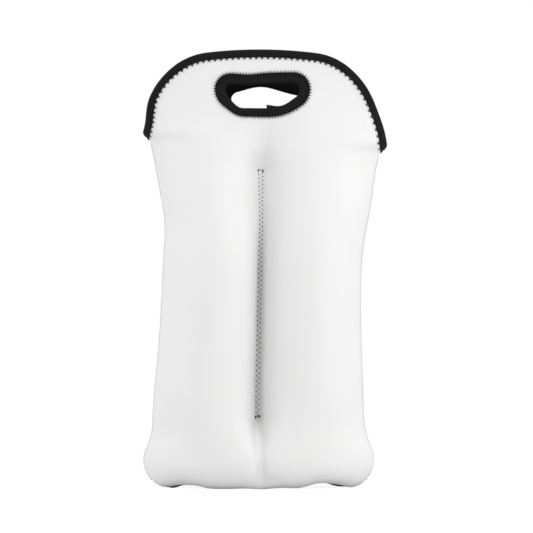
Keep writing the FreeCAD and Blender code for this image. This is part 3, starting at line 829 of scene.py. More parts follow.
def swept(rings):
    """Closed tubes through rings of points, as (tubes, rings, round, xyz): side quads and end strips.

    Also gives each face corner's step along the tube and round it.
    """
    tubes, stations, around = rings.shape[:3]
    index = np.arange(tubes * stations * around).reshape(tubes, stations, around)
    wrapped = np.concatenate([index, index[:, :, :1]], axis=2)
    corners = (wrapped[:, :-1, :-1], wrapped[:, :-1, 1:], wrapped[:, 1:, 1:], wrapped[:, 1:, :-1])
    sides = np.stack(corners, axis=-1).reshape(-1, 4)
    k = np.arange(around // 2 - 1)
    strip = np.stack([k, k + 1, around - 2 - k, around - 1 - k], axis=-1)
    near = index[:, 0][:, strip].reshape(-1, 4)[:, ::-1]
    far = index[:, -1][:, strip].reshape(-1, 4)
    faces = np.vstack([sides, near, far])
    station, turn = np.meshgrid(np.arange(stations - 1), np.arange(around), indexing="ij")
    steps = np.stack(
        [
            np.stack([station, turn], axis=-1),
            np.stack([station, turn + 1], axis=-1),
            np.stack([station + 1, turn + 1], axis=-1),
            np.stack([station + 1, turn], axis=-1),
        ],
        axis=2,
    ).reshape(-1, 4, 2)
    uv_steps = np.concatenate([np.tile(steps, (tubes, 1, 1)), np.zeros((len(near) + len(far), 4, 2), int)])
    return rings.reshape(-1, 3), faces, uv_steps


def enclosed_volume(points, faces):
    """Signed volume inside quads: a third of the sum of each quad's middle times its area vector."""
    corner = points[faces]
    facing = np.cross(corner[:, 2] - corner[:, 0], corner[:, 3] - corner[:, 1])
    return np.sum(corner.mean(axis=1) * facing) / 6


def add_piece(name, points, faces, corner_uv, material, nodes):
    """Mesh object from numpy arrays, faces outward, with its cloth coordinates and finish; the CAD parts
    named by nodes are hidden.
    """
    if enclosed_volume(points, faces) < 0:
        faces = faces[:, ::-1]
        corner_uv = corner_uv[:, ::-1]
    mesh = bpy.data.meshes.new(name)
    mesh.from_pydata(points.tolist(), [], faces.tolist())
    mesh.polygons.foreach_set("use_smooth", np.ones(len(faces), bool))
    mesh.set_sharp_from_angle(angle=SHARP_EDGE)
    layer = mesh.uv_layers.new(name=CLOTH_UV)
    layer.data.foreach_set("uv", corner_uv.astype(np.float32).ravel())
    mesh.materials.append(material)
    if mesh.validate():
        raise RuntimeError(f"{name}: faces had to be repaired")
    mesh.update()
    piece = bpy.data.objects.new(name, mesh)
    bpy.context.scene.collection.objects.link(piece)
    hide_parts(*nodes)
    return piece


def mirrored(points, side):
    """Front points as they are, or mirrored to the back panel."""
    return points * np.array([1.0, 1.0 if side == "front" else -1.0, 1.0])


def bend_with_handle(piece):
    """Bakes the piece's placement into its mesh."""
    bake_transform(piece)


class Wiring:
    """Adds nodes to a node tree; an input is a value or another node's socket."""

    def __init__(self, tree):
        self.tree = tree

    def add(self, kind, inputs, **settings):
        """Node with its settings and inputs."""
        node = self.tree.nodes.new(kind)
        for name, value in settings.items():
            setattr(node, name, value)
        for key, value in inputs.items():
            if isinstance(value, NodeSocket):
                self.tree.links.new(value, node.inputs[key])
            else:
                node.inputs[key].default_value = value
        return node

    def math(self, operation, first, second=0.0):
        """Result of one operation on two values."""
        return self.add("ShaderNodeMath", {0: first, 1: second}, operation=operation).outputs[0]

    def scaled(self, value, times, plus):
        """A value times a factor, plus an offset."""
        return self.math("ADD", self.math("MULTIPLY", value, times), plus)

    def wave(self, value, turn):
        """Sine of a value times a turn in radians."""
        return self.math("SINE", self.math("MULTIPLY", value, turn))

    def cloth_place(self):
        """Cloth coordinates of the piece: along or across the cloth, then up or round it."""
        place = self.add("ShaderNodeUVMap", {}, uv_map=CLOTH_UV).outputs[0]
        return self.add("ShaderNodeSeparateXYZ", {0: place}).outputs

    def blend_colours(self, factor, first, second):
        """Colour between two, each given as red, green and blue."""
        inputs = {0: factor, 6: (*first, 1.0), 7: (*second, 1.0)}
        return self.add("ShaderNodeMix", inputs, data_type="RGBA").outputs[2]

    def bump(self, height, strength, distance):
        """Normal from a height."""
        inputs = {"Height": height, "Strength": strength, "Distance": distance}
        return self.add("ShaderNodeBump", inputs).outputs[0]

    def group(self, group, inputs):
        """Node group with its own values."""
        return self.add("ShaderNodeGroup", inputs, node_tree=group)


def new_group(name, inputs, outputs):
    """Shader node group with float inputs and outputs, and its two end nodes."""
    group = bpy.data.node_groups.new(name, "ShaderNodeTree")
    for label, default in inputs:
        socket = group.interface.new_socket(label, in_out="INPUT", socket_type="NodeSocketFloat")
        socket.default_value = default
    for label in outputs:
        group.interface.new_socket(label, in_out="OUTPUT", socket_type="NodeSocketFloat")
    return group, group.nodes.new("NodeGroupInput"), group.nodes.new("NodeGroupOutput")


def knit_group():
    """Jersey loops on the cloth coordinates: upright ribs, each crossed by slanted courses."""
    if "Knit loops" in bpy.data.node_groups:
        return bpy.data.node_groups["Knit loops"]
    group, given, result = new_group(
        "Knit loops", (("Loop Width", LOOP_WIDTH), ("Loop Height", LOOP_HEIGHT)), ("Height", "Hollow Shade")
    )
    wire = Wiring(group)
    place = wire.cloth_place()
    ribs = wire.math("DIVIDE", place[0], given.outputs["Loop Width"])
    courses = wire.math("DIVIDE", place[1], given.outputs["Loop Height"])
    rib = wire.math("ABSOLUTE", wire.wave(ribs, math.pi))
    slant = wire.math("ADD", courses, wire.math("MULTIPLY", rib, 0.5))
    lifted = wire.scaled(wire.wave(slant, 2 * math.pi), times=0.25, plus=0.75)
    height = wire.math("MULTIPLY", rib, lifted)
    wire.tree.links.new(height, result.inputs["Height"])
    # The hollows are the mask for the painted shade between the loops
    wire.tree.links.new(wire.math("SUBTRACT", 1.0, height), result.inputs["Hollow Shade"])
    return group


def uneven_group():
    """Slow unevenness of handled cloth: soft noise through the piece, from 0 to 1."""
    if "Uneven cloth" in bpy.data.node_groups:
        return bpy.data.node_groups["Uneven cloth"]
    group, given, result = new_group("Uneven cloth", (("Patches per Metre", 30.0),), ("Patch", "Fuzz"))
    wire = Wiring(group)
    place = wire.add("ShaderNodeTexCoord", {}).outputs["Object"]
    patch = wire.add(
        "ShaderNodeTexNoise", {"Vector": place, "Scale": given.outputs[0], "Detail": 3.0, "Roughness": 0.55}
    )
    fuzz = wire.add("ShaderNodeTexNoise", {"Vector": place, "Scale": FUZZ_PER_METRE, "Detail": 2.0})
    wire.tree.links.new(patch.outputs[0], result.inputs["Patch"])
    wire.tree.links.new(fuzz.outputs[0], result.inputs["Fuzz"])
    return group


def twist_group():
    """Plies of a spun thread: slanted ridges along its own length and round it."""
    if "Thread twist" in bpy.data.node_groups:
        return bpy.data.node_groups["Thread twist"]
    group, given, result = new_group(
        "Thread twist", (("Turn Length", THREAD_TURN_LENGTH),), ("Height", "Groove Shade")
    )
    wire = Wiring(group)
    place = wire.cloth_place()
    turns = wire.math("DIVIDE", place[0], given.outputs["Turn Length"])
    slant = wire.math("ADD", turns, wire.math("MULTIPLY", place[1], 2.0))
    ridge = wire.math("ABSOLUTE", wire.wave(slant, math.pi))
    wire.tree.links.new(ridge, result.inputs["Height"])
    # The grooves are the mask for the painted shade between the plies
    wire.tree.links.new(wire.math("SUBTRACT", 1.0, ridge), result.inputs["Groove Shade"])
    return group


def new_material(name):
    """Material with an empty node tree, and the wiring of that tree."""
    material = bpy.data.materials.new(name)
    material.use_nodes = True
    material.node_tree.nodes.clear()
    return material, Wiring(material.node_tree)


def finish_material(wire, base, roughness, normal, sheen):
    """Principled shader of a cloth, joined to the output."""
    inputs = {
        "Base Color": base,
        "Roughness": roughness,
        "Normal": normal,
        "Sheen Weight": sheen,
        "Sheen Roughness": SHEEN_ROUGHNESS,
        "Specular IOR Level": SPECULAR_LEVEL,
    }
    shader = wire.add("ShaderNodeBsdfPrincipled", inputs)
    wire.add("ShaderNodeOutputMaterial", {"Surface": shader.outputs[0]})


def knit_material(name, loop_colour, hollow_shade_colour, sheen):
    """Fine jersey: loops with painted shade between the ribs, a soft fuzz and slow random patches of tone."""
    if name in bpy.data.materials:
        return bpy.data.materials[name]
    material, wire = new_material(name)
    knit = wire.group(knit_group(), {"Loop Width": LOOP_WIDTH, "Loop Height": LOOP_HEIGHT})
    uneven = wire.group(uneven_group(), {"Patches per Metre": 26.0})
    patches = wire.math("MULTIPLY", uneven.outputs["Patch"], 0.25)
    # Painted shade in the hollows between the loops, plus slow random patches of tone
    shade = wire.scaled(knit.outputs["Hollow Shade"], times=0.55, plus=patches)
    base = wire.blend_colours(shade, loop_colour, hollow_shade_colour)
    rough = wire.scaled(uneven.outputs["Fuzz"], times=0.12, plus=0.80)
    height = wire.scaled(uneven.outputs["Fuzz"], times=0.6, plus=knit.outputs["Height"])
    normal = wire.bump(height, strength=0.35, distance=0.00012)
    finish_material(wire, base, rough, normal, sheen)
    return material


def tape_material(colours):
    """Woven tape: close ribs across its width, with painted shade in the grooves, varied by slow patches, and
    a light fuzz.
    """
    name = "woven_tape"
    if name in bpy.data.materials:
        return bpy.data.materials[name]
    material, wire = new_material(name)
    place = wire.cloth_place()
    ribs = wire.wave(place[0], 2 * math.pi / TAPE_RIB_PITCH)
    yarns = wire.wave(place[1], 2 * math.pi / TAPE_YARN_PITCH)
    weave = wire.scaled(yarns, times=0.5, plus=ribs)
    height = wire.scaled(weave, times=0.3, plus=0.5)
    uneven = wire.group(uneven_group(), {"Patches per Metre": 60.0})
    # Painted shade in the grooves between the ribs, varied by slow patches
    groove = wire.math("SUBTRACT", 1.0, height)
    shade = wire.math("MULTIPLY", groove, wire.math("ADD", uneven.outputs["Patch"], 0.4))
    base = wire.blend_colours(shade, colours.tape, colours.tape_groove_shade)
    rough = wire.scaled(uneven.outputs["Fuzz"], times=0.2, plus=0.62)
    normal = wire.bump(height, strength=0.5, distance=0.00015)
    finish_material(wire, base, rough, normal, LOW_SHEEN)
    return material


def thread_material(name, ridge_colour):
    """Spun thread: slanted plies, with painted shade in the grooves between them."""
    if name in bpy.data.materials:
        return bpy.data.materials[name]
    material, wire = new_material(name)
    twist = wire.group(twist_group(), {"Turn Length": THREAD_TURN_LENGTH})
    uneven = wire.group(uneven_group(), {"Patches per Metre": 90.0})
    # Painted shade: the grooves take a darker copy of the thread's colour
    groove_shade_colour = [GROOVE_SHADE * value for value in ridge_colour]
    shade = wire.math("MULTIPLY", twist.outputs["Groove Shade"], wire.math("ADD", uneven.outputs["Patch"], 0.2))
    base = wire.blend_colours(shade, ridge_colour, groove_shade_colour)
    rough = wire.scaled(uneven.outputs["Fuzz"], times=0.2, plus=0.5)
    normal = wire.bump(twist.outputs["Height"], strength=0.5, distance=0.0001)
    finish_material(wire, base, rough, normal, LOW_SHEEN)
    return material


def hole_shade_material(colours):
    """Painted shade inside a needle hole, a little uneven."""
    name = "needle_hole"
    if name in bpy.data.materials:
        return bpy.data.materials[name]
    material, wire = new_material(name)
    uneven = wire.group(uneven_group(), {"Patches per Metre": 300.0})
    lighter = [HOLE_PATCH_SHADE * value for value in colours.needle_hole]
    base = wire.blend_colours(uneven.outputs["Patch"], colours.needle_hole, lighter)
    rough = wire.scaled(uneven.outputs["Fuzz"], times=0.1, plus=0.85)
    normal = wire.bump(uneven.outputs["Fuzz"], strength=0.3, distance=0.0001)
    finish_material(wire, base, rough, normal, 0.0)
    return material


def panel_rows(shape):
    """Row heights from the base to the ring level, closer together round the foot."""
    foot = np.linspace(0.0, shape.foot_height, FOOT_ROWS + 1)
    count = round((shape.ring_level - shape.foot_height) / ROW_STEP)
    return np.concatenate([foot, np.linspace(shape.foot_height, shape.ring_level, count + 1)[1:]])


def base_edge(shape, t):
    """Height parameter of the seam with the base: level, then turned up towards the corners."""
    return shape.base_turn_up * ease(TURN_UP_START, TURN_UP_END, np.abs(t))


def slot_cut(shape, stance, side, rim):
    """Point on the cut round a hand opening for each rim point: the one in its direction from the middle."""
    opening = slot_path(shape, stance, side)
    cut, outward = walk(opening, np.linspace(0.0, path_length(opening), DOME_STEPS, endpoint=False))
    cut = cut + outward * shape.tuck
    centre = cut.mean(axis=0)
    cut_angle = np.arctan2(*(cut - centre).T[::-1])
    rim_angle = np.arctan2(*(rim - centre).T[::-1])
    order = np.argsort(cut_angle)
    radius = np.linalg.norm(cut - centre, axis=1)[order]
    radius = np.interp(rim_angle, cut_angle[order], radius, period=2 * math.pi)
    return centre + radius[:, None] * np.stack([np.cos(rim_angle), np.sin(rim_angle)], axis=-1)


def panel_surface(shape, sewing, stance, side):
    """Outer face of a panel as at the front: rows of the body, then rings from the dome's edge to the slot.

    The first ring shares its lower points with the top row. Gives points, quads, cloth coordinates, and how
    far the white wraps over the raw edge, which it does along the side seams.
    """
    even = np.linspace(-1.0, 1.0, COLUMNS)
    t = np.sign(even) * np.abs(even) ** COLUMN_CROWDING
    levels = panel_rows(shape)[:, None]
    height = levels + base_edge(shape, t) * (1 - np.minimum(levels / shape.foot_height, 1.0))
    body = outer_face(shape, t[None, :], height)
    steps = np.linalg.norm(np.diff(body, axis=1), axis=-1)
    girth = np.concatenate([np.zeros((len(levels), 1)), np.cumsum(steps, axis=1)], axis=1)
    girth -= girth[:, COLUMNS // 2, None]
    dome = dome_path(shape, shape.ring_level)
    spaced = np.linspace(0.0, path_length(dome), DOME_STEPS + 2)[1:-1]
    edge, inward = walk(dome, spaced)
    edge = edge + inward * shape.tuck
    rim = np.vstack([body[-1][:, [0, 2]], edge])
    hole = slot_cut(shape, stance, side, rim)
    inner = np.linspace(0.0, 1.0, HANDLE_RINGS + 1)[:, None, None]
    x, z = np.moveaxis(rim * (1 - inner) + hole * inner, -1, 0)
    handle = np.stack([x, -wall(shape, x, z), z], axis=-1)
    stretch = girth[-1, -1] / body[-1, -1, 0]
    body_count = body.shape[0] * COLUMNS
    body_index = np.arange(body_count).reshape(body.shape[:2])
    ring_index = body_count + DOME_STEPS + np.arange(x.size).reshape(x.shape) - x.shape[1]
    ring_index[0] = np.concatenate([body_index[-1], body_count + np.arange(DOME_STEPS)])
    ring_index = np.concatenate([ring_index, ring_index[:, :1]], axis=1)
    points = np.vstack([body.reshape(-1, 3), handle[0, COLUMNS:], handle[1:].reshape(-1, 3)])
    faces = np.vstack([grid_faces(body_index), grid_faces(ring_index)])
    cloth = np.vstack(
        [
            np.stack([girth, height], axis=-1).reshape(-1, 2),
            np.stack([x[0, COLUMNS:] * stretch, z[0, COLUMNS:]], axis=-1),
            np.stack([x[1:] * stretch, z[1:]], axis=-1).reshape(-1, 2),
        ]
    )
    wrapped = np.zeros(len(points))
    wrap_end = shape.seam_top + sewing.mouth_tape_start
    wrap = ease(WRAP_START, WRAP_END, np.abs(t)) * ease(wrap_end + sewing.mouth_tape_slant, wrap_end, height)
    wrapped[:body_count] = wrap.ravel()
    dents = crease_depth(points[:, 0], points[:, 2])[:, None]
    return points - vertex_normals(points, faces) * dents, faces, cloth, wrapped


def panel_piece(name, side, lining, material, nodes):
    """The white layer of a panel, or the lining under it, which thins out where the white wraps over."""
    shape, sewing, stance, _ = scene_values()
    points, faces, cloth, wrapped = panel_surface(shape, sewing, stance, side)
    gap = shape.sheet / SHEET_OVER_GAP
    white = shape.sheet * (shape.face_share + (1 - shape.face_share) * wrapped) - gap * wrapped * 2
    near, far = (white + gap, shape.sheet) if lining else (0.0, white)
    skins, all_faces = thicken(points, faces, near, far)
    placed = mirrored(settled(skins, stance), side)
    piece = add_piece(name, placed, all_faces, np.vstack([cloth, cloth])[all_faces], material, nodes)
    bend_with_handle(piece)
    return piece


def tape_profile(shape, sewing, width):
    """Folded tape as (distance in from the fold, lift off the outer face): outer skin, then inner skin back.

    Each skin is a flange, a half circle round the raw edge and a flange on the lining.
    """
    half = shape.sheet / 2
    gap = half + sewing.tape_clearance
    full = gap + sewing.tape
    turn = np.linspace(0.0, math.pi, TAPE_FOLD_POINTS)
    shoulder = TAPE_SHOULDER * sewing.tape
    flange = np.linspace(width - shoulder, full, TAPE_FLANGE_POINTS + 1)[:-1]
    level = np.ones(TAPE_FLANGE_POINTS)
    outer_u = np.concatenate([[width], flange, full - full * np.sin(turn), flange[::-1], [width]])
    outer_lift = np.concatenate(
        [[full - shoulder], full * level, full * np.cos(turn), -full * level, [shoulder - full]]
    )
    inner_u = np.concatenate([[width], flange, full - gap * np.sin(turn), flange[::-1], [width]])
    inner_lift = np.concatenate([[gap], gap * level, gap * np.cos(turn), -gap * level, [-gap]])
    u = np.concatenate([outer_u, inner_u[::-1]])
    lift = np.concatenate([outer_lift, inner_lift[::-1]]) - half
    outside = np.concatenate([np.ones(len(outer_u)), np.zeros(len(inner_u))])
    return u, lift, outside


def tape_piece(name, side, path, distance, u, lift, nodes):
    """Tape through stations along an edge: u is the distance into the sheet, lift the height off its face."""
    shape, sewing, stance, colours = scene_values()
    point, inward = walk(path, distance)
    place = point + inward * u[..., None]
    rings, _ = on_sheet(shape, place[..., 0], place[..., 1], lift)
    points, faces, steps = swept(mirrored(settled(rings, stance), side)[None])
    run = np.concatenate([distance[:, 0], distance[-1:, 0]])
    round_tape = np.concatenate([[0.0], np.cumsum(np.hypot(np.diff(u[0]), np.diff(lift[0])))])
    round_tape = np.append(round_tape, round_tape[-1] + sewing.tape)
    corner_uv = np.stack([run[steps[..., 0]], round_tape[steps[..., 1]]], axis=-1)
    piece = add_piece(name, points, faces, corner_uv, tape_material(colours), nodes)
    bend_with_handle(piece)
    return piece


def zigzag(path, start, end, pitch, near, far, crowding=0.0, steepness=1.0):
    """Thread line of a zigzag along a path: needle points half a pitch apart swing between two distances.

    With crowding the pitch shrinks evenly along the way; a steepness below 1 draws both legs of a stitch
    together at the near distance. Gives (x, z), the direction across, the distance across, and the bow of
    each stitch, which is 0 at a needle point.
    """
    count = 2 * max(1, round((end - start) / pitch))
    s = np.arange(count * STITCH_STEPS + 1) / STITCH_STEPS
    swing = np.abs((s + 1) % 2 - 1)
    way = s / count
    distance = start + (end - start) * (way + crowding * way * (1 - way))
    across = near + (far - near) * swing**steepness
    point, left = walk(path, distance)
    return point + left * across[:, None], left, across, stitch_bow(s)


def stitch_bow(s):
    """Bow of stitches whose needle points are at whole s: a half sine wave raised to a power below 1."""
    return np.abs(np.sin(math.pi * s)) ** STITCH_BOW_POWER


def thread_lift(radius, bow, levels):
    """Lift of a thread's centre line: the level at a needle point plus the bow times the further rise."""
    seat, rise = levels
    return radius * (seat + rise * bow)


def thread_rings(centres, normals, radius):
    """Rings of a thread round its centre line: a circle in the plane of the sheet's normal and the side."""
    travel = unit(np.gradient(centres, axis=0))
    side = unit(np.cross(normals, travel))
    up = np.cross(travel, side)
    turn = np.arange(THREAD_SIDES) * 2 * math.pi / THREAD_SIDES
    spread = np.cos(turn)[:, None] * side[:, None, :] + np.sin(turn)[:, None] * up[:, None, :]
    return centres[:, None, :] + radius * spread


def thread_piece(name, rings, material, nodes):
    """Thread mesh from rings of points as (tubes, rings, round, xyz)."""
    points, faces, steps = swept(rings)
    run = np.linalg.norm(np.diff(rings[0].mean(axis=1), axis=0), axis=1)
    run = np.concatenate([[0.0], np.cumsum(run)])
    corner_uv = np.stack([run[steps[..., 0]], steps[..., 1] / THREAD_SIDES], axis=-1)
    return add_piece(name, points, faces, corner_uv, material, nodes)


def sheet_thread(side, line, lift, radius):
    """Rings of a thread that lies on a panel along (x, z) points at a lift off its face."""
    shape, _, stance, _ = scene_values()
    centres, normals = on_sheet(shape, line[:, 0], line[:, 1], lift)
    return mirrored(settled(thread_rings(centres, normals, radius), stance), side)[None]


def hole_shade_plugs(name, side, needles, long_way, half_width, stretch, deep, proud):
    """Short plugs of painted shade at needle points: each runs from an oval below the face to a smaller one
    above it.
    """
    shape, _, stance, colours = scene_values()
    turn = (np.arange(PLUG_SIDES) * 2 * math.pi / PLUG_SIDES)[:, None]
    short_way = np.stack([-long_way[:, 1], long_way[:, 0]], axis=-1)
    oval = stretch * np.cos(turn) * long_way[:, None, :] + np.sin(turn) * short_way[:, None, :]
    taper = np.array([1.0, PLUG_TOP_SHARE])[:, None, None]
    place = needles[:, None, None, :] + half_width * oval[:, None] * taper
    lift = np.broadcast_to(np.array([deep, proud])[:, None], place.shape[:3])
    rings, _ = on_sheet(shape, place[..., 0], place[..., 1], lift)
    points, faces, steps = swept(mirrored(settled(rings, stance), side))
    return add_piece(name, points, faces, steps * half_width, hole_shade_material(colours), [])


class CARRIER_OT_panels(Operator):
    """Make the white outer face of both panels"""

    bl_idname = "carrier.panels"
    bl_label = "Outer panels"

    def execute(self, context):
        colours = context.scene.carrier_colours
        material = knit_material("white_jersey", colours.white_knit, colours.white_knit_hollow_shade, PANEL_SHEEN)
        for side in SIDES:
            nodes = [f"{side}_{zone}_{layer}" for zone in ZONES for layer in ("face", "foam")]
            panel_piece(f"{side}_panel", side, False, material, nodes)
        return {"FINISHED"}


class CARRIER_OT_linings(Operator):
    """Make the black lining of both panels"""

    bl_idname = "carrier.linings"
    bl_label = "Linings"

    def execute(self, context):
        colours = context.scene.carrier_colours
        material = knit_material("black_jersey", colours.black_knit, colours.black_knit_hollow_shade, LOW_SHEEN)
        for side in SIDES:
            nodes = [f"{side}_{zone}_lining" for zone in ZONES]
            panel_piece(f"{side}_inner_cloth", side, True, material, nodes)
        return {"FINISHED"}


class CARRIER_OT_base(Operator):
    """Make the black base, whose ends turn up under the corners"""

    bl_idname = "carrier.base"
    bl_label = "Base"

    def execute(self, context):
        shape, sewing, stance, colours = scene_values()
        material = knit_material("black_jersey", colours.black_knit, colours.black_knit_hollow_shade, LOW_SHEEN)
        # Sine-spaced points span the base from rim to rim; the rim is tucked up, and sags where it shows.
        t = np.sin(np.linspace(-1.0, 1.0, COLUMNS) * math.pi / 2)
        edge = outer_face(shape, t, base_edge(shape, t))
        across = np.sin(np.linspace(-1.0, 1.0, BASE_ROWS) * math.pi / 2)[:, None]
        half_depth = -edge[:, 1] - shape.seam_gap
        x, y, z = np.broadcast_arrays(edge[:, 0], half_depth * across, edge[:, 2])
        points = np.stack([x, y, z], axis=-1).reshape(-1, 3)
        faces = grid_faces(np.arange(len(points)).reshape(x.shape))[:, ::-1]
        skins, all_faces = thicken(points, faces, 0.0, shape.sheet)
        rim = (skins[:, 0] / BASE_HALF_LENGTH) ** 2 + (skins[:, 1] / BASE_HALF_DEPTH) ** 2
        skins[:, 2] += (sewing.base_tuck - self.sags(skins[:, 0])) * np.clip(rim, 0.0, 1.0)
        cloth = np.tile(points[:, :2], (2, 1))
        nodes = ("base_face", "base_foam", "base_lining")
        piece = add_piece(
            "base_cloth", settled(skins, stance), all_faces, cloth[all_faces], material, nodes
        )
        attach(piece, BODY)
        return {"FINISHED"}

    def sags(self, x):
        """Depth of the base below the hem: a bell round each place where it shows."""
        return sum(depth * np.exp(-(((x - place) / reach) ** 2)) for place, depth, reach in BASE_SAGS)


class CARRIER_OT_mouth_bindings(Operator):
    """Fold the tape over the domed edge of both handles"""

    bl_idname = "carrier.mouth_bindings"
    bl_label = "Mouth bindings"

    def execute(self, context):
        shape, sewing, _, _ = scene_values()
        # The folded profile runs along the dome, its ends cut on the slant; ribs are a sine wave along it.
        width = sewing.mouth_tape_width
        path = dome_path(shape, shape.seam_top + sewing.mouth_tape_start)
        total = path_length(path)
        u, lift, outside = tape_profile(shape, sewing, width)
        even = np.linspace(0.0, 1.0, round(total / TAPE_STEP) + 1)[:, None]
        slant = sewing.mouth_tape_slant * (1 - np.minimum(u / width, 1.0))
        distance = slant + (total - 2 * slant) * even
        ribs = np.sin(2 * math.pi * distance / (sewing.mouth_stitch_pitch / 2)) * sewing.mouth_pucker
        lifts = lift + np.sign(lift + shape.sheet / 2) * outside * ribs * ease(0.0, width, u)
        lifts[[0, -1]] = np.where(outside > 0, lifts[[0, -1]], -shape.sheet / 2)
        for side in SIDES:
            spread = np.broadcast_to(u, distance.shape)
            tape_piece(f"{side}_mouth_binding", side, path, distance, spread, lifts, [f"{side}_mouth_tape"])
        return {"FINISHED"}


class CARRIER_OT_slot_bindings(Operator):
    """Fold the tape over the edge of both hand slots, lapped at the bottom"""

    bl_idname = "carrier.slot_bindings"
    bl_label = "Slot bindings"

    def execute(self, context):
        shape, sewing, stance, _ = scene_values()
        # The folded profile goes once round and on over its own start; its last end pokes into the opening.
        width = sewing.slot_tape_width
        u, lift, outside = tape_profile(shape, sewing, width)
        for side in SIDES:
            path = slot_path(shape, stance, side)
            loop = path_length(path)
            total = loop + sewing.slot_tape_lap
            start = self.join_place(path, sewing.slot_tape_join)
            run = np.linspace(0.0, total, round(total / (TAPE_STEP / 2)) + 1)[:, None]
            lap = ease(loop - LAP_RISE_BEFORE, loop + LAP_RISE_AFTER, run)
            over = lap * sewing.tape * LAP_TAPES
            ribs = np.sin(2 * math.pi * run / sewing.slot_stitch_pitch) * sewing.pucker
            away = np.sign(lift + shape.sheet / 2)
            lifts = lift + away * (over + outside * ribs * ease(RIB_START, width / 2, u))
            wider = slot_tape_width(sewing, walk(path, start + run[:, 0])[0][:, 1])[:, None] / width
            spread = u * wider - sewing.slot_tape_poke * ease(loop, total, run) * ease(width, 0.0, u)
            tape_piece(
                f"{side}_slot_binding", side, path, start + run + 0 * u, spread, lifts, [f"{side}_slot_tape"]
            )
        return {"FINISHED"}

    def join_place(self, path, x):
        """Distance along a slot's edge to the point of its lower half that is nearest to x."""
        distance = np.linspace(0.0, path_length(path), LAP_SEARCH_STEPS)
        point = walk(path, distance)[0]
        lower = point[:, 1] < point[:, 1].mean()
        return distance[np.argmin(np.where(lower, np.abs(point[:, 0] - x), np.inf))]


class CARRIER_OT_binding_threads(Operator):
    """Sew the zigzags that hold the tapes"""

    bl_idname = "carrier.binding_threads"
    bl_label = "Binding threads"

    def execute(self, context):
        shape, sewing, stance, colours = scene_values()
        material = thread_material("black_spun_thread", colours.black_thread)
        radius = sewing.thread_radius
        tape_top = sewing.tape + sewing.tape_clearance
        dome = dome_path(shape, shape.seam_top + sewing.mouth_tape_start)
        mouth = moved_left(dome, sewing.mouth_tape_width)
        for side in SIDES:
            slot = slot_path(shape, stance, side)
            slot = moved_left(slot, slot_tape_width(sewing, slot[:, 1])[:, None])
            edges = (
                ("mouth", mouth, sewing.mouth_stitch_start, 1.0),
                ("slot", slot, 0.0, sewing.slot_stitch_steepness),
            )
            for name, path, start, steepness in edges:
                pitch = getattr(sewing, f"{name}_stitch_pitch")
                over = getattr(sewing, f"{name}_stitch_over")
                inner = over - getattr(sewing, f"{name}_stitch_width")
                end = path_length(path) - start
                line, left, across, bow = zigzag(path, start, end, pitch, over, inner, steepness=steepness)
                under = tape_top * ease(TAPE_EDGE_EASE, -TAPE_EDGE_EASE, across)
                rings = sheet_thread(side, line, under + thread_lift(radius, bow, BINDING_LIFT), radius)
                piece = thread_piece(
                    f"{side}_{name}_zigzag", rings, material, [f"{side}_{name}_stitch"]
                )
                bend_with_handle(piece)
                # Plugs of painted shade in the grooves that the stitches pull into the tape
                plugs = hole_shade_plugs(
                    f"{side}_{name}_needle_mark_shade",
                    side,
                    line[STITCH_STEPS :: 2 * STITCH_STEPS],
                    left[STITCH_STEPS :: 2 * STITCH_STEPS],
                    sewing.tape_hole,
                    sewing.tape_hole_stretch,
                    tape_top - sewing.tape / 2,
                    tape_top + sewing.pucker,
                )
                bend_with_handle(plugs)
        return {"FINISHED"}


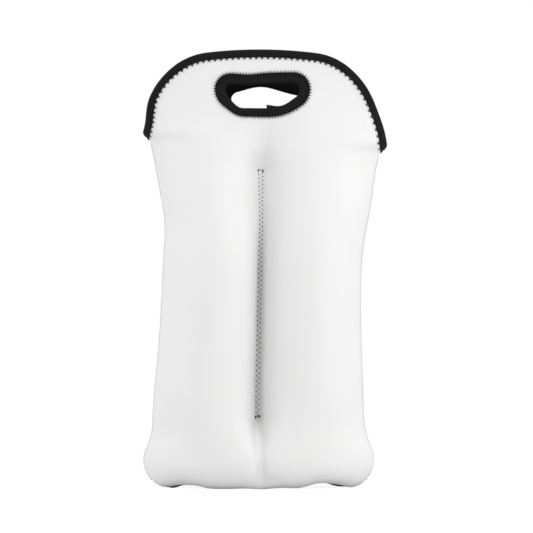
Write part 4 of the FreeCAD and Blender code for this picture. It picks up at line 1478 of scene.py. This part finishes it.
class CARRIER_OT_centre_seam(Operator):
    """Sew the centre seam: zigzag, plugs of painted shade in its needle holes and a bartack at each end"""

    bl_idname = "carrier.centre_seam"
    bl_label = "Centre seam"

    def execute(self, context):
        # The zigzag goes straight up the middle and widens near its top, between two arched bartacks.
        shape, sewing, _, colours = scene_values()
        light = thread_material("white_spun_thread", colours.white_thread)
        dark = thread_material("black_spun_thread", colours.black_thread)
        radius = sewing.seam_thread_radius
        half = sewing.divider_stitch_width / 2
        widening = sewing.divider_top_width / sewing.divider_stitch_width - 1
        path = np.array([[0.0, shape.divider_bottom], [0.0, shape.divider_top]])
        total = path_length(path)
        tack = sewing.bartack
        arch = sewing.bartack_arch
        tacks = (
            self.tack_path(shape.divider_bottom + tack / 2, sewing.bartack_width / 2, arch, -tack / 2),
            self.tack_path(shape.divider_top - tack / 2, sewing.bartack_top_width / 2, arch, tack / 2),
        )
        line, _, _, bow = zigzag(
            path, tack, total - tack, sewing.divider_stitch_pitch, -half, half, sewing.divider_crowding
        )
        widening_start = shape.divider_top - CENTRE_WIDENING_REACH
        line[:, 0] *= 1 + widening * ease(widening_start, shape.divider_top, line[:, 1])
        for side in SIDES:
            rings = sheet_thread(side, line, thread_lift(radius, bow, CENTRE_LIFT), radius)
            seam = thread_piece(
                f"{side}_centre_zigzag", rings, light, [f"{side}_divider_stitch"]
            )
            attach(seam, BODY)
            ends = []
            for tack_path in tacks:
                along_tack = walk(tack_path, np.linspace(0.0, path_length(tack_path), TACK_STEPS))[0]
                ends.append(sheet_thread(side, along_tack, radius, sewing.bartack_radius)[0])
            knots = thread_piece(
                f"{side}_centre_bartacks", np.stack(ends), dark, [f"{side}_divider_bartacks"]
            )
            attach(knots, BODY)
            # Plugs of painted shade in the seam's needle holes and the bartack's two holes
            kinds = (
                ("needle_hole_shade", line[::STITCH_STEPS], sewing.needle_hole),
                ("bartack_hole_shade", np.vstack([tack_path[[1, 3]] for tack_path in tacks]), sewing.bartack_hole),
            )
            for name, needles, half_width in kinds:
                upright = np.broadcast_to([0.0, 1.0], needles.shape)
                holes = hole_shade_plugs(
                    f"{side}_{name}",
                    side,
                    needles,
                    upright,
                    half_width,
                    sewing.hole_stretch,
                    -HOLE_DEPTH,
                    HOLE_PROUD,
                )
                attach(holes, BODY)
        return {"FINISHED"}

    def tack_path(self, level, half_width, rise, tail):
        """Thread of a bartack: tail, left hole, arch, right hole, tail half as long."""
        left_tail, right_tail = TACK_TAILS
        return np.array(
            [
                [-left_tail * half_width, level + tail],
                [-half_width, level],
                [0.0, level + rise],
                [half_width, level],
                [right_tail * half_width, level + tail / 2],
            ]
        )


class CARRIER_OT_side_seams(Operator):
    """Sew the zigzags down both side seams and round the lower corners"""

    bl_idname = "carrier.side_seams"
    bl_label = "Side seams"

    def execute(self, context):
        shape, sewing, stance, colours = scene_values()
        # The side thread's grey is painted shade on a white thread
        material = thread_material("painted_shade_side_thread", colours.side_thread)
        radius = sewing.side_thread_radius
        # The thread swings across the seam as a triangle wave going up, and leans back beside the edge.
        low = shape.base_turn_up + SIDE_SEAM_END
        high = shape.seam_top - SIDE_SEAM_END
        count = 2 * round((high - low) / sewing.side_stitch_pitch)
        s = np.arange(count * STITCH_STEPS + 1) / STITCH_STEPS
        height = low + (high - low) * s / count
        y = sewing.side_stitch_width * (np.abs((s + 1) % 2 - 1) - 0.5)
        edge = outer_face(shape, np.ones_like(height), height)
        above = outer_face(shape, np.ones_like(height), height + NUDGE)
        part = section(shape, np.maximum(height, shape.foot_height))
        out = unit((above - edge)[:, [2, 1, 0]] * np.array([1.0, 0.0, -1.0]))
        back_off = np.maximum(0.0, np.abs(y) + edge[:, 1]) * part.across / part.drop
        lift = thread_lift(radius, stitch_bow(s), SIDE_LIFT) - back_off
        centres = np.stack([edge[:, 0], y, edge[:, 2]], axis=-1) + out * lift[:, None]
        rings = thread_rings(centres, out, radius)
        for side, sign in (("right", 1.0), ("left", -1.0)):
            placed = settled(rings * np.array([sign, 1.0, 1.0]), stance)[None]
            piece = thread_piece(
                f"{side}_seam_zigzag", placed, material, [f"{side}_side_stitch"]
            )
            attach(piece, BODY)
        return {"FINISHED"}


class CARRIER_OT_base_seam(Operator):
    """Sew the zigzag round the base, on the inside"""

    bl_idname = "carrier.base_seam"
    bl_label = "Base seam"

    def execute(self, context):
        shape, sewing, stance, colours = scene_values()
        material = thread_material("black_spun_thread", colours.black_thread)
        radius = sewing.seam_thread_radius
        # The zigzag follows an oval inset from the base's edge, one sheet above the base's outer face.
        turn = np.linspace(0.0, 2 * math.pi, BASE_OVAL_POINTS)
        half_length = BASE_HALF_LENGTH - sewing.base_stitch_inset
        half_depth = BASE_HALF_DEPTH - sewing.base_stitch_inset
        oval = np.stack([half_length * np.cos(turn), half_depth * np.sin(turn)], axis=-1)
        line, _, _, bow = zigzag(
            oval, 0.0, path_length(oval), sewing.base_stitch_pitch, 0.0, sewing.base_stitch_width
        )
        t = np.arcsin(np.clip(line[:, 0] / BASE_HALF_LENGTH, -1.0, 1.0)) * 2 / math.pi
        inside = outer_face(shape, t, base_edge(shape, t))[:, 2] + shape.sheet
        centres = np.column_stack([line, inside + thread_lift(radius, bow, BASE_LIFT)])
        up = np.broadcast_to([0.0, 0.0, 1.0], centres.shape)
        rings = settled(thread_rings(centres, up, radius), stance)[None]
        piece = thread_piece("base_zigzag", rings, material, ["base_stitch"])
        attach(piece, BODY)
        return {"FINISHED"}


class CARRIER_OT_cloth_facts(Operator):
    """Empty step that does nothing"""

    bl_idname = "carrier.cloth_facts"
    bl_label = "Cloth facts"

    def execute(self, context):
        return {"FINISHED"}


class CARRIER_OT_stage(Operator):
    """Set the floor, the studio light and the camera"""

    bl_idname = "carrier.stage"
    bl_label = "Stage"

    def execute(self, context):
        scene = context.scene
        scene.view_settings.view_transform = "Standard"
        self.world(scene)
        self.floor(scene)
        self.lamps(scene)
        self.camera(scene)
        return {"FINISHED"}

    def seen_directly(self, wire):
        """1 for rays that show the background: camera, mirror and see-through rays."""
        path = wire.add("ShaderNodeLightPath", {})
        seen = wire.math("MAXIMUM", path.outputs["Is Camera Ray"], path.outputs["Is Glossy Ray"])
        return wire.math("MAXIMUM", seen, path.outputs["Is Transmission Ray"])

    def world(self, scene):
        """Soft even light, seen as plain white."""
        scene.world = bpy.data.worlds.new("studio")
        scene.world.use_nodes = True
        scene.world.node_tree.nodes.clear()
        wire = Wiring(scene.world.node_tree)
        soft = wire.add("ShaderNodeBackground", {"Color": WHITE, "Strength": SOFT_LIGHT})
        white = wire.add("ShaderNodeBackground", {"Color": WHITE, "Strength": 1.0})
        mix = wire.add(
            "ShaderNodeMixShader", {0: self.seen_directly(wire), 1: soft.outputs[0], 2: white.outputs[0]}
        )
        wire.add("ShaderNodeOutputWorld", {"Surface": mix.outputs[0]})

    def floor(self, scene):
        """Wide pale floor that keeps the carrier's shadow."""
        half = FLOOR_HALF_SIZE
        mesh = bpy.data.meshes.new("studio_floor")
        corners = [(-half, -half, 0.0), (half, -half, 0.0), (half, half, 0.0), (-half, half, 0.0)]
        mesh.from_pydata(corners, [], [(0, 1, 2, 3)])
        material, wire = new_material("studio_floor")
        matt = wire.add(
            "ShaderNodeBsdfDiffuse", {"Color": (*scene.carrier_colours.floor, 1.0), "Roughness": 1.0}
        )
        glow = wire.add("ShaderNodeEmission", {"Color": WHITE, "Strength": FLOOR_GLOW})
        factor = wire.math("MULTIPLY", self.seen_directly(wire), FLOOR_GLOW_SHARE)
        mix = wire.add("ShaderNodeMixShader", {0: factor, 1: matt.outputs[0], 2: glow.outputs[0]})
        wire.add("ShaderNodeOutputMaterial", {"Surface": mix.outputs[0]})
        mesh.materials.append(material)
        floor = bpy.data.objects.new("studio_floor", mesh)
        scene.collection.objects.link(floor)

    def lamps(self, scene):
        """Large soft lamps: key from the right, weak fill, one to each side, one overhead, one behind."""
        for name, place, size, power in LAMPS:
            data = bpy.data.lights.new(name, "AREA")
            data.size = size
            data.energy = power
            lamp = bpy.data.objects.new(name, data)
            scene.collection.objects.link(lamp)
            self.point_at(lamp, np.array(place), np.array(LAMP_AIM))

    def point_at(self, thing, place, target):
        """Put a lamp or the camera at a place, looking along its own -Z at a target."""
        thing.location = place
        thing.rotation_euler = Vector(target - place).to_track_quat("-Z", "Y").to_euler()

    def camera(self, scene):
        """Level camera in front; its view is as wide as the photograph's frame."""
        middle = np.array(CAMERA_AIM)
        data = bpy.data.cameras.new("front_camera")
        data.sensor_width = SENSOR_WIDTH
        data.lens = data.sensor_width * CAMERA_DISTANCE / VIEW_WIDTH
        data.clip_end = CAMERA_REACH
        camera = bpy.data.objects.new("front_camera", data)
        scene.collection.objects.link(camera)
        self.point_at(camera, middle - np.array([0.0, CAMERA_DISTANCE, 0.0]), middle)
        scene.camera = camera


OPERATORS = (
    CARRIER_OT_panels,
    CARRIER_OT_linings,
    CARRIER_OT_base,
    CARRIER_OT_mouth_bindings,
    CARRIER_OT_slot_bindings,
    CARRIER_OT_binding_threads,
    CARRIER_OT_centre_seam,
    CARRIER_OT_side_seams,
    CARRIER_OT_base_seam,
    CARRIER_OT_cloth_facts,
    CARRIER_OT_stage,
)


class CARRIER_PT_sidebar(Panel):
    """Lists the steps that dress the carrier"""

    bl_idname = "CARRIER_PT_sidebar"
    bl_label = "Two-bottle carrier"
    bl_space_type = "VIEW_3D"
    bl_region_type = "UI"
    bl_category = "Carrier"

    def draw(self, context):
        for step in OPERATORS:
            self.layout.operator(step.bl_idname)


GROUPS = {
    "carrier_shape": CarrierShape,
    "carrier_sewing": CarrierSewing,
    "carrier_stance": CarrierStance,
    "carrier_colours": CarrierColours,
}


def register():
    for kind in (*GROUPS.values(), *OPERATORS, CARRIER_PT_sidebar):
        bpy.utils.register_class(kind)
    for name, kind in GROUPS.items():
        setattr(bpy.types.Scene, name, PointerProperty(type=kind))


def unregister():
    for name in GROUPS:
        delattr(bpy.types.Scene, name)
    for kind in (CARRIER_PT_sidebar, *reversed(OPERATORS), *reversed(GROUPS.values())):
        bpy.utils.unregister_class(kind)


def main():
    register()
    for step in OPERATORS:
        group, name = step.bl_idname.split(".")
        getattr(getattr(bpy.ops, group), name)()


if __name__ == "__main__":
    main()
